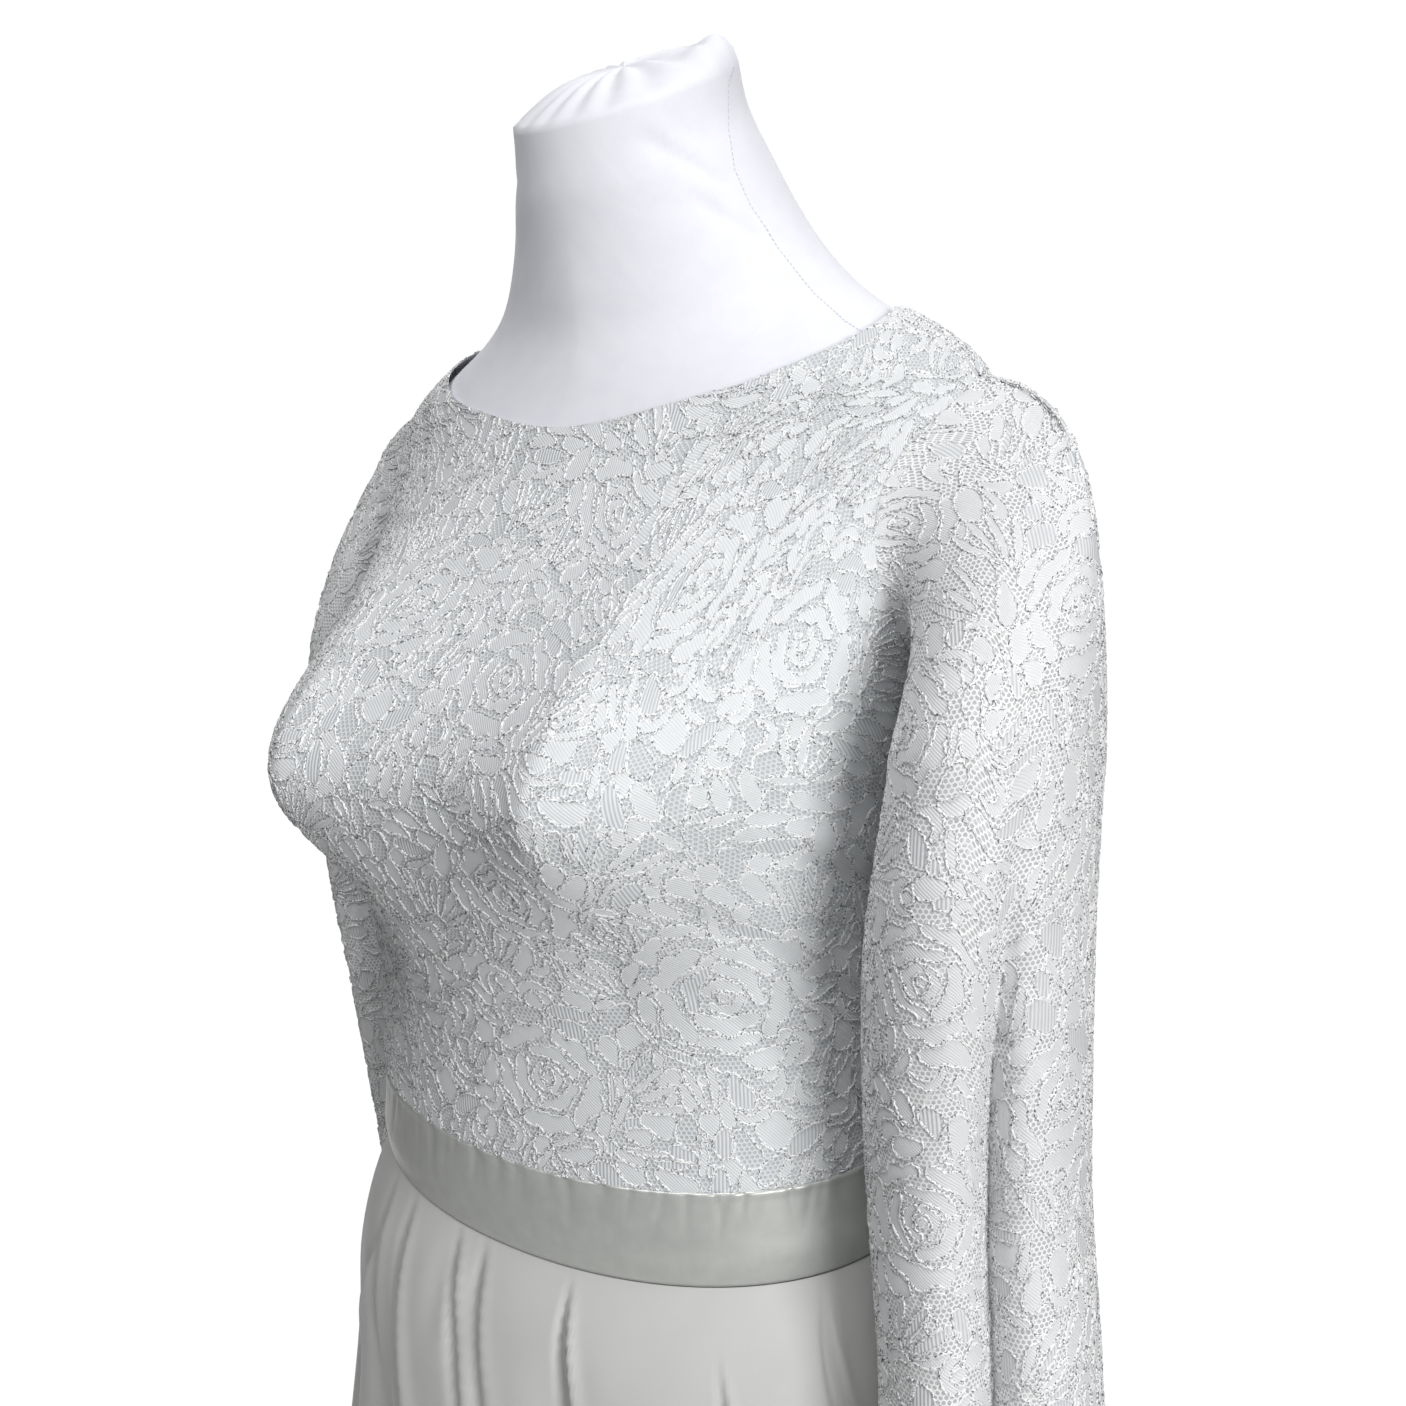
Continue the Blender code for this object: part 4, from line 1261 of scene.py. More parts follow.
    def blade_figure(self) -> tuple[Array, Work]:
        """Return a slender blade of grass."""
        length = self.random.uniform(14, 24)
        outline = long_leaf(length, self.random.uniform(3.0, 4.2), self.random.uniform(-1.5, 1.5))
        return outline, self.random.choice((Work.CLOSE, Work.CLOSE, Work.RIBBED))

    def fill_room(self) -> None:
        """Grow petals and buds, large ones first, until the free room is used."""
        for least, most, mean, tries in self.pebbles:
            for _ in range(tries):
                self.grow_pebble(self.random.uniform(least, most), mean)

    def grow_pebble(self, reach: float, mean: float) -> None:
        """Grow one rounded figure until it meets its neighbours.

        Args:
            reach: How far it may grow, in millimetres.
            mean: The least mean radius that is worth a figure.
        """
        rows, columns = self.taken.shape
        turns = 2 * np.pi * np.arange(18) / 18
        steps = np.arange(1, 28) * self.cell
        x, y = self.random.uniform(0, self.width), self.random.uniform(0, self.height)
        if self.taken[int(y / self.cell) % rows, int(x / self.cell) % columns]:
            return
        lean, slim = self.swirl(x, y), self.random.uniform(0.42, 0.62)
        column = ((x + np.outer(np.cos(turns), steps)) / self.cell).astype(int) % columns
        row = ((y + np.outer(np.sin(turns), steps)) / self.cell).astype(int) % rows
        blocked = self.taken[row, column]
        clear = np.where(blocked.any(axis=1), blocked.argmax(axis=1), len(steps)) * self.cell
        radius = np.minimum(clear, reach * (1 - slim * np.sin(turns - lean) ** 2))
        evened = 0.5 * radius + 0.25 * (np.roll(radius, 1) + np.roll(radius, -1))
        radius = np.minimum(evened, clear)
        if radius.mean() < mean or radius.min() < 0.8:
            return
        outline = np.stack([x + radius * np.cos(turns), y + radius * np.sin(turns)], axis=-1)
        chance = self.random.random()
        work = Work.RIBBED if chance < self.pebble_worked_share else Work.OPEN
        self.claim(outline, Work.CLOSE if chance < self.pebble_close_share else work)


def resample(outline: Array, step: float) -> Array:
    """Return a closed outline as even steps, with its first point repeated."""
    loop = np.vstack([outline, outline[:1]])
    run = np.concatenate([[0.0], np.cumsum(np.linalg.norm(np.diff(loop, axis=0), axis=1))])
    count = max(6, int(round(run[-1] / step)))
    at = np.linspace(0, run[-1], count + 1)
    return np.stack([np.interp(at, run, loop[:, 0]), np.interp(at, run, loop[:, 1])], axis=-1)


@dataclass
class LaceLayer:
    """The clothwork and cord of one lace piece, laid on its shell."""

    repeat: LaceRepeat
    cord_step: float = 1.4
    cord_half: float = 0.60
    cord_high: float = 0.85
    cord_sway: float = 0.30
    petal_edge: float = 0.08
    petal_crown: float = 0.34
    cord_foot: float = 0.05
    width_stray: float = 0.30
    height_stray: float = 0.28
    sway_stray: float = 0.6
    crest_stray: float = 0.18
    margin_mm: float = 12.0
    seed: int = 3

    def lay(
        self, name: str, grid: ClothGrid, offset: Place, dressed: "DressFinishes", slot: str
    ) -> list[bpy.types.Object]:
        """Lay the lace on a shell.

        Args:
            name: The shell's name.
            grid: The shell's points.
            offset: Where the repeat starts on the flat cloth, in millimetres.
            dressed: The finishes of the dress.
            slot: The record's material slot.

        Returns:
            The clothwork and the cord.
        """
        figures = self.covering(grid, offset)
        clothwork = self.clothwork(name + "_clothwork", grid, figures)
        cords = self.cords(name + "_cord", grid, figures)
        petals = dressed.sheer_clothwork if slot == "sheer_lace" else dressed.clothwork
        return [keep(clothwork, petals), keep(cords, dressed.cord)]

    def covering(self, grid: ClothGrid, offset: Place) -> list[Figure]:
        """Return the figures of every repeat that touches the cloth."""
        low = np.array([grid.s.min(), grid.t.min()])
        high = np.array([grid.s.max(), grid.t.max()])
        size = np.array([self.repeat.width, self.repeat.height])
        first = np.floor((low - offset) / size).astype(int) - 1
        last = np.ceil((high - offset) / size).astype(int) + 1
        found = []
        for i in range(first[0], last[0]):
            for j in range(first[1], last[1]):
                shift = np.array([i, j]) * size + offset
                found += [Figure(f.outline + shift, f.work) for f in self.repeat.figures]
        middles = np.array([f.outline.mean(axis=0) for f in found])
        near = (middles > low - self.margin_mm) & (middles < high + self.margin_mm)
        return [f for f, wanted in zip(found, near.all(axis=1)) if wanted]

    def clothwork(self, name: str, grid: ClothGrid, figures: list[Figure]) -> bpy.types.Object:
        """Make the petals as slightly crowned patches."""
        filled = [f for f in figures if f.work is not Work.OPEN]
        middles = np.array([f.outline.mean(axis=0) for f in filled])
        column, row = grid.locate(middles)
        on = (column > 0) & (column < grid.columns) & (row > 0) & (row < grid.rows)
        filled = [f for f, wanted in zip(filled, on) if wanted]
        sides, crowns, ribbed, breaks = [], [], [], []
        for figure in filled:
            n = len(figure.outline)
            k = np.arange(n // 2 + 1)
            left, right = figure.outline[k], figure.outline[-k % n]
            sides.append(np.stack([left, 0.5 * (left + right), right]))
            crowns.append(np.maximum(np.sin(np.pi * k / (n // 2)), 0) ** 0.5)
            ribbed.append(np.full(len(k), 1.0 if figure.work is Work.RIBBED else 0.0))
            breaks.append(len(k))
        flat = np.concatenate(sides, axis=1)
        crown = np.concatenate(crowns)
        lift = np.full((3, flat.shape[1]), self.petal_edge)
        lift[1] += (self.petal_crown - self.petal_edge) * crown
        column, row = grid.locate(flat.reshape(-1, 2))
        points = grid.lifted(column, row, lift.ravel()).reshape(3, -1, 3)
        ends = np.cumsum(breaks) - 1
        return strips_object(name, points, flat, ends, np.concatenate(ribbed))

    def cords(self, name: str, grid: ClothGrid, figures: list[Figure]) -> bpy.types.Object:
        """Make the raised cord round every figure."""
        lines = [resample(f.outline, self.cord_step) for f in figures]
        flat = np.concatenate(lines)
        ends = np.cumsum([len(line) for line in lines]) - 1
        starts = np.concatenate([[0], ends[:-1] + 1])
        column, row = grid.locate(flat)
        on = (column >= 0) & (column <= grid.columns) & (row >= 0) & (row <= grid.rows)
        ahead = np.zeros_like(flat)
        ahead[1:-1] = flat[2:] - flat[:-2]
        ahead[starts] = flat[starts + 1] - flat[ends - 1]
        ahead[ends] = ahead[starts]
        aside = unit(np.stack([-ahead[:, 1], ahead[:, 0]], axis=-1))
        chance = np.random.default_rng(self.seed)
        fuzz = chance.uniform(-1, 1, (4, len(flat)))
        fuzz[:, ends] = fuzz[:, starts]
        zigzag = np.where(np.arange(len(flat)) % 2 == 0, 1.0, -1.0)
        sway = self.cord_sway * zigzag * (1 + self.sway_stray * fuzz[1])
        sway[ends] = sway[starts]
        flat = flat + aside * sway[:, None]
        half = self.cord_half * (1 + self.width_stray * fuzz[0])
        crest = flat + aside * (self.crest_stray * fuzz[1])[:, None]
        left = flat + aside * half[:, None]
        right = flat - aside * (self.cord_half * (1 + self.width_stray * fuzz[2]))[:, None]
        rails = np.stack([right, crest, left])
        lift = np.full((3, len(flat)), self.cord_foot)
        lift[1] = self.cord_high * (1 + self.height_stray * fuzz[3])
        keep_rungs, breaks = self.cut_at_edges(on, starts)
        rails, lift = rails[:, keep_rungs], lift[:, keep_rungs]
        column, row = grid.locate(rails.reshape(-1, 2))
        points = grid.lifted(column, row, lift.ravel()).reshape(3, -1, 3)
        return strips_object(name, points, rails, breaks)

    @staticmethod
    def cut_at_edges(on: Array, starts: Array) -> tuple[Array, Array]:
        """Drop the rungs that lie off the cloth.

        Args:
            on: Whether each rung lies on the cloth.
            starts: The first rung of each cord.

        Returns:
            The rungs that stay, and which of those end a cord.
        """
        whose = np.zeros(len(on), int)
        whose[starts] = 1
        whose = np.cumsum(whose)
        joined = on[:-1] & on[1:] & (whose[:-1] == whose[1:])
        used = np.zeros(len(on), bool)
        used[:-1] |= joined
        used[1:] |= joined
        kept = np.flatnonzero(used)
        linked = joined[np.minimum(kept, len(joined) - 1)] & (kept < len(joined))
        return kept, np.flatnonzero(~linked)


# The pieces


@dataclass(frozen=True)
class DressFinishes:
    """The finishes of every piece, made once."""

    lined_net: bpy.types.Material
    sheer_net: bpy.types.Material
    clothwork: bpy.types.Material
    sheer_clothwork: bpy.types.Material
    cord: bpy.types.Material
    satin: bpy.types.Material
    crepe: bpy.types.Material
    jersey: bpy.types.Material
    thread: bpy.types.Material
    steel: bpy.types.Material
    paint: bpy.types.Material
    enamel: bpy.types.Material
    board: bpy.types.Material

    @classmethod
    def make(cls) -> "DressFinishes":
        """Make the materials."""
        return cls(
            LinedNet().make(),
            SheerNet().make(),
            Clothwork().make(),
            # The sheer clothwork's second colour is the painted shade of its grooves
            Clothwork("sheer ivory clothwork", "#F6F7F8", "#D3D6DA", alpha=0.84).make(),
            PicotCord().make(),
            Satin().make(),
            Crepe().make(),
            Jersey().make(),
            SEWING_THREAD.make(),
            BRUSHED_STEEL.make(),
            POWDER_COAT.make(),
            IVORY_ENAMEL.make(),
            FIBREBOARD.make(),
        )


@dataclass
class Bodice:
    """The lined lace bodice: a front and two back halves."""

    dressed: DressFinishes
    lace: LaceRepeat
    lift: float = 0.0009
    front_cells: tuple[int, int] = (120, 116)
    back_cells: tuple[int, int] = (54, 90)
    drags: tuple[Crease, ...] = (
        ((0.55, 0.350), (0.97, 0.225), (5.0, 8.0), 0.0020),
        ((0.43, 0.330), (0.88, 0.130), (4.5, 7.0), 0.0016),
        ((0.40, 0.250), (0.76, 0.075), (5.0, 6.0), 0.0010),
        ((-0.96, 0.230), (-0.52, 0.345), (8.0, 5.0), 0.0018),
        ((-0.86, 0.140), (-0.45, 0.310), (7.0, 4.5), 0.0013),
    )

    def front(self, u: Array, v: Array) -> Array:
        """Return points of the front."""
        return TORSO.bodice_point(u, v, False)

    def back_left(self, u: Array, v: Array) -> Array:
        """Return points of the wearer's left back half."""
        spot = TORSO.bodice_point(0.5 * (1 - u), v, True)
        spot[..., 0] = np.maximum(spot[..., 0], CUT.zip_half)
        return spot

    def back_right(self, u: Array, v: Array) -> Array:
        """Return points of the wearer's right back half."""
        spot = TORSO.bodice_point(-0.5 * (1 + u), v, True)
        spot[..., 0] = np.minimum(spot[..., 0], -CUT.zip_half)
        return spot

    def build(self) -> None:
        """Make the three panels and their lace."""
        panels = (
            ("bodice_front", self.front, self.front_cells, 0.5, (4.0, 10.0), 1.5),
            ("bodice_back_left", self.back_left, self.back_cells, 1.0, (30.0, 70.0), 2.5),
            ("bodice_back_right", self.back_right, self.back_cells, 0.0, (30.0, 70.0), 2.5),
        )
        for name, surface, cells, middle, offset, step in panels:
            grid = ClothGrid(surface, *cells, self.lift, middle)
            if name == "bodice_front":
                grid.press(sum(grid.crease(*drag) for drag in self.drags))
            shell = keep(grid.mesh_object(name + "_net"), self.dressed.lined_net)
            layer = LaceLayer(self.lace, cord_step=step)
            trims = layer.lay(name, grid, offset, self.dressed, "lined_lace")
            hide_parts(name)
            log.info("%s: %.3f m2 of lined lace", name, grid.area)


@dataclass
class Sleeve:
    """One long sheer lace sleeve: a set-in cap and a hanging tube."""

    name: str
    rows: SmoothTable
    side: int
    dressed: DressFinishes
    lace: LaceRepeat
    cord_step: float
    offset: tuple[float, float]
    cells: tuple[int, int] = (100, 160)
    lift: float = 0.0003
    cap_share: float = 0.24
    cap_push_top: float = 0.066
    cap_push_foot: float = 0.014
    cap_fall: float = 0.075
    cap_fall_foot: float = 0.25
    cap_out: float = 1.2
    cap_out_at_sides: float = 0.4
    cap_drop: float = 0.12
    cap_look_in: float = 0.010
    seam_top: float = -0.0015
    seam_foot: float = -0.0008
    margin: float = 0.004
    valley_turn: float = 128.0
    valley_slides: float = 62.0
    valley_height: float = 1.05
    valley_width: float = 17.0
    crease_deep: float = 0.014
    crease_width: float = 7.5
    crease_from: float = 1.265
    crease_over: float = 0.16

    def armhole(self, turn: Array, seam: float | Array) -> Array:
        """Return points of the armhole: 0 under the arm, a half turn at the tip."""
        low, tip = TORSO_ROWS.place_of(CUT.underarm), TORSO_ROWS.place_of(CUT.shoulder_tip)
        along = self.margin + (1 - 2 * self.margin) * 0.5 * (1 - np.cos(turn))
        place = low + along * (tip - low)
        back = np.sin(turn) < 0
        edge = np.where(
            back,
            TORSO.armhole_turn(place, TORSO.armhole_back),
            TORSO.armhole_turn(place, TORSO.armhole_front),
        )
        whole = np.where(back, np.pi - edge, edge)
        side = np.where(back, -1, 1)
        return TORSO.point(whole + side * TORSO.turn_for(seam, whole, place), place)

    def tube(self, place: Array, turn: Array) -> Array:
        """Return points of the hanging tube: 0 next to the body, then its front."""
        row = self.rows.mix(place)
        slid = np.radians(self.valley_slides) * (row["height"] - self.valley_height)
        away = turn_apart(turn, self.valley_turn) - slid
        deeper = ease((self.crease_from - row["height"]) / self.crease_over)
        pinch = row["valley"] * bump(away, np.radians(self.valley_width))
        pinch = pinch + self.crease_deep * deeper * bump(away, np.radians(self.crease_width))
        out = np.stack([-row["half_x"] * np.cos(turn), -row["half_y"] * np.sin(turn)], axis=-1)
        out = out - unit(out) * pinch[..., None]
        x, y = row["centre_x"] + out[..., 0], row["centre_y"] + out[..., 1]
        return np.stack([x, y, row["height"]], axis=-1)

    def cap(self, turn: Array, along: Array) -> Array:
        """Return points of the cap, from the armhole to the tube's first ring."""
        top = 0.5 * (1 - np.cos(turn))
        start = self.armhole(turn, self.seam_foot + (self.seam_top - self.seam_foot) * top)
        end = self.tube(np.zeros_like(turn), turn)
        push = self.cap_push_foot + (self.cap_push_top - self.cap_push_foot) * top
        sideways = np.abs(np.sin(turn))
        run = unit(start - self.armhole(turn, -self.cap_look_in)) * sideways[..., None]
        out = self.cap_out + (self.cap_out_at_sides - self.cap_out) * sideways
        leave = run + np.stack([out, np.zeros_like(out), -self.cap_drop * top], axis=-1)
        fall = self.cap_fall * (self.cap_fall_foot + (1 - self.cap_fall_foot) * top)
        a = start + unit(leave) * push[..., None]
        still = np.zeros_like(fall)
        b = end + np.stack([still, still, fall], axis=-1)
        t, s = along[..., None], 1 - along[..., None]
        return start * s**3 + a * 3 * s * s * t + b * 3 * s * t**2 + end * t**3

    def surface(self, u: Array, v: Array) -> Array:
        """Return points of the sleeve, from the cuff up to the armhole."""
        turn = np.pi * (1 + u)
        if self.side < 0:
            turn = -turn
        tube_share = 1 - self.cap_share
        last = len(self.rows.rows) - 1
        tube = self.tube(last * (1 - np.clip(v / tube_share, 0, 1)), turn)
        cap = self.cap(turn, 1 - np.clip((v - tube_share) / self.cap_share, 0, 1))
        points = np.where((v < tube_share)[..., None], tube, cap)
        points[..., 0] *= self.side
        return points

    def build(self) -> None:
        """Make the sleeve and its lace."""
        grid = ClothGrid(self.surface, *self.cells, self.lift, 0.5)
        shell = keep(grid.mesh_object(self.name + "_net", True), self.dressed.sheer_net)
        layer = LaceLayer(self.lace, cord_step=self.cord_step, seed=7)
        trims = layer.lay(self.name, grid, self.offset, self.dressed, "sheer_lace")
        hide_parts(self.name)
        log.info("%s: %.3f m2 of sheer lace", self.name, grid.area)


@dataclass
class Waistband:
    """The plain satin band, in three parts, with a fine bright upper edge."""

    dressed: DressFinishes
    lift: float = 0.0012
    wall: float = 0.0010
    rows: int = 24
    pucker_deep: float = 0.0010
    pucker_apart: float = 9.0
    pucker_stray: float = 4.0
    pucker_reach: tuple[float, float] = (7.0, 22.0)
    pucker_width: tuple[float, float] = (1.4, 3.0)
    pucker_lean: float = 0.25
    roll: float = 0.0008
    belly: float = 0.0009
    foot_dip: float = 0.0006
    overlap: float = 0.0006
    side_gap: float = 0.0004

    def point(self, turn: Array, v: Array) -> Array:
        """Return points of the band's surface."""
        low, high = CUT.band_bottom + CUT.seam_half, CUT.band_top + self.overlap
        return TORSO.point(turn, TORSO_ROWS.place_of(low + v * (high - low)))

    def surface(self, low: float, high: float) -> Surface:
        """Return the surface between two turns."""

        def points(u: Array, v: Array) -> Array:
            """Return the points between the two turns."""
            spot = self.point(low + (high - low) * 0.5 * (u + 1), v)
            if low > 1:
                away = 1 if high <= np.pi + 1e-6 else -1
                spot[..., 0] = away * np.maximum(away * spot[..., 0], CUT.zip_half)
            return spot

        return points

    def puckers(self, grid: ClothGrid, seed: int) -> Array:
        """Return small gathers that run down from the top seam, and the band's soft swell."""
        chance = np.random.default_rng(seed)
        s, t = grid.s, grid.t
        top = t.max(axis=0, keepdims=True)
        relief = np.zeros_like(s)
        places = np.arange(s.min(), s.max(), self.pucker_apart)
        for at in places + chance.uniform(-self.pucker_stray, self.pucker_stray, len(places)):
            reach, deep = chance.uniform(*self.pucker_reach), chance.uniform(0.3, 1.0)
            lean = chance.uniform(-self.pucker_lean, self.pucker_lean)
            across = bump(s - at - lean * (top - t), chance.uniform(*self.pucker_width))
            relief -= deep * self.pucker_deep * across * bump(top - t, reach)
        relief += self.roll * bump(top - t - 1.6, 1.8) + self.belly * bump(t - 0.30 * top, 8.0)
        return relief - self.foot_dip * bump(t, 1.7)

    def build(self) -> None:
        """Make the three parts."""
        side = self.side_gap
        parts = (
            ("waistband_front", -np.pi / 2 + side, np.pi / 2 - side, 300, 5),
            ("waistband_back_left", np.pi / 2 + side, np.pi, 150, 6),
            ("waistband_back_right", np.pi, 1.5 * np.pi - side, 150, 7),
        )
        for name, low, high, columns, seed in parts:
            grid = ClothGrid(self.surface(low, high), columns, self.rows, self.lift, 0.5)
            grid.press(self.puckers(grid, seed))
            band = keep(grid.mesh_object(name + "_satin"), self.dressed.satin)
            thicken(band, self.wall)
            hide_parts(name)
            log.info("%s: %.0f mm long", name, grid.flat_size[0] / MM)


@dataclass
class Skirt:
    """The flared crepe skirt: a front and two back halves, in soft flutes."""

    dressed: DressFinishes
    lift: float = 0.0004
    front_cells: tuple[int, int] = (300, 84)
    back_cells: tuple[int, int] = (120, 84)
    seam_deep: float = 0.0009
    seam_wide: float = 2.5
    side_overlap: float = 0.0004
    fold_fades: tuple[float, float] = (0.22, 0.55)
    rows_near_band: float = 1.3
    front_folds: tuple[Crease, ...] = (
        ((0.163, 0.988), (0.240, 0.740), (1.0, 9.0), 0.0075),
        ((0.480, 0.940), (0.530, 0.680), (1.0, 9.0), 0.0075),
        ((-0.112, 1.02), (0.035, 0.780), (1.4, 5.0), 0.0038),
        ((-0.038, 1.02), (0.075, 0.800), (2.2, 6.0), 0.0034),
        ((-0.285, 1.03), (-0.095, 0.680), (3.0, 9.0), 0.0062),
        ((-0.400, 1.02), (-0.270, 0.760), (3.0, 8.0), 0.0030),
        ((-0.350, 0.960), (-0.580, 0.680), (3.0, 9.0), 0.0035),
        ((0.720, 0.985), (0.760, 0.720), (1.0, 8.0), 0.0050),
    )
    back_folds: tuple[Crease, ...] = (
        ((-0.55, 0.990), (-0.62, 0.720), (1.5, 8.0), 0.0050),
        ((0.05, 0.960), (0.02, 0.700), (1.5, 9.0), 0.0055),
        ((0.52, 1.02), (0.58, 0.760), (2.0, 7.0), 0.0035),
    )
    ridge_share: float = 0.35
    trough_share: float = 1.30
    closes: float = 0.008
    flutes: SmoothTable = SmoothTable(
        "angle width starts full fades depth",
        (
            (-2.5, 3.0, 0.000, 0.015, 0.075, 0.9),
            (-9.5, 3.0, 0.000, 0.012, 0.060, 0.9),
            (16.0, 4.5, 0.006, 0.060, 9.0, 1.00),
            (43.0, 6.5, 0.060, 0.240, 9.0, 1.00),
            (68.0, 7.0, 0.020, 0.300, 9.0, 0.85),
            (93.0, 7.5, 0.015, 0.260, 9.0, 1.00),
            (117.0, 7.0, 0.030, 0.340, 9.0, 0.90),
            (141.0, 6.5, 0.010, 0.220, 9.0, 1.05),
            (164.0, 6.0, 0.040, 0.300, 9.0, 0.85),
            (188.0, 6.5, 0.020, 0.240, 9.0, 1.00),
            (213.0, 7.0, 0.015, 0.320, 9.0, 0.95),
            (238.0, 7.0, 0.050, 0.280, 9.0, 0.90),
            (262.0, 7.5, 0.020, 0.260, 9.0, 1.05),
            (289.0, 6.5, 0.030, 0.300, 9.0, 0.85),
            (316.0, 5.0, 0.006, 0.130, 9.0, 0.95),
            (336.0, 4.5, 0.006, 0.120, 9.0, 0.90),
            (356.0, 6.0, 0.110, 0.360, 9.0, 0.85),
        ),
    )

    def point(self, turn: Array, below: Array) -> Array:
        """Return points of the skirt at depths below the band."""
        turn, below = np.broadcast_arrays(turn, below)
        row = SKIRT_ROWS.mix(SKIRT_ROWS.place_of(below))
        x, y = section(row, turn)
        inward = np.zeros_like(x)
        for angle, width, starts, full, fades, depth in self.flutes.rows:
            open_by = ease((below - starts) / (full - starts))
            shut_by = 1 - ease((below - full) / (fades - full))
            inward += depth * open_by * shut_by * bump(turn_apart(turn, angle), np.radians(width))
        outward = unit(np.stack([x, y - row["middle_y"], 0 * x], axis=-1))
        z = CUT.band_bottom - CUT.skirt_drop - below
        push = row["flute"] * (self.ridge_share - self.trough_share * inward)
        return np.stack([x, y, z], axis=-1) + outward * push[..., None]

    def surface(self, low: float, high: float) -> Surface:
        """Return the surface between two turns, open beside the zip."""
        tall = CUT.band_bottom - CUT.skirt_drop - CUT.hem

        def points(u: Array, v: Array) -> Array:
            """Return the points between the two turns."""
            below = tall * (1 - v) ** self.rows_near_band
            spot = self.point(low + (high - low) * 0.5 * (u + 1), below)
            if low > 1:
                away = 1 if high <= np.pi + 1e-6 else -1
                shut = ease((below - CUT.zip_below_band) / self.closes)
                gap = CUT.zip_half + (CUT.seam_half - CUT.zip_half) * shut
                spot[..., 0] = away * np.maximum(away * spot[..., 0], gap)
            return spot

        return points

    def build(self) -> None:
        """Make the three panels, which meet in the sunk line of each side seam."""
        side = -self.side_overlap
        parts = (
            ("skirt_front", -np.pi / 2 + side, np.pi / 2 - side, self.front_cells),
            ("skirt_back_left", np.pi / 2 + side, np.pi, self.back_cells),
            ("skirt_back_right", np.pi, 1.5 * np.pi - side, self.back_cells),
        )
        for name, low, high, cells in parts:
            grid = ClothGrid(self.surface(low, high), *cells, self.lift, 0.5)
            folds = self.front_folds if name == "skirt_front" else self.back_folds
            relief = sum(grid.crease(*fold, fades=self.fold_fades) for fold in folds)
            from_left, from_right = grid.s - grid.s[:, :1], grid.s[:, -1:] - grid.s
            edges = bump(from_left, self.seam_wide) + bump(from_right, self.seam_wide)
            grid.press(relief - self.seam_deep * edges)
            panel = keep(grid.mesh_object(name + "_crepe"), self.dressed.crepe)
            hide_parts(name)
            log.info("%s: %.3f m2 of crepe", name, grid.area)


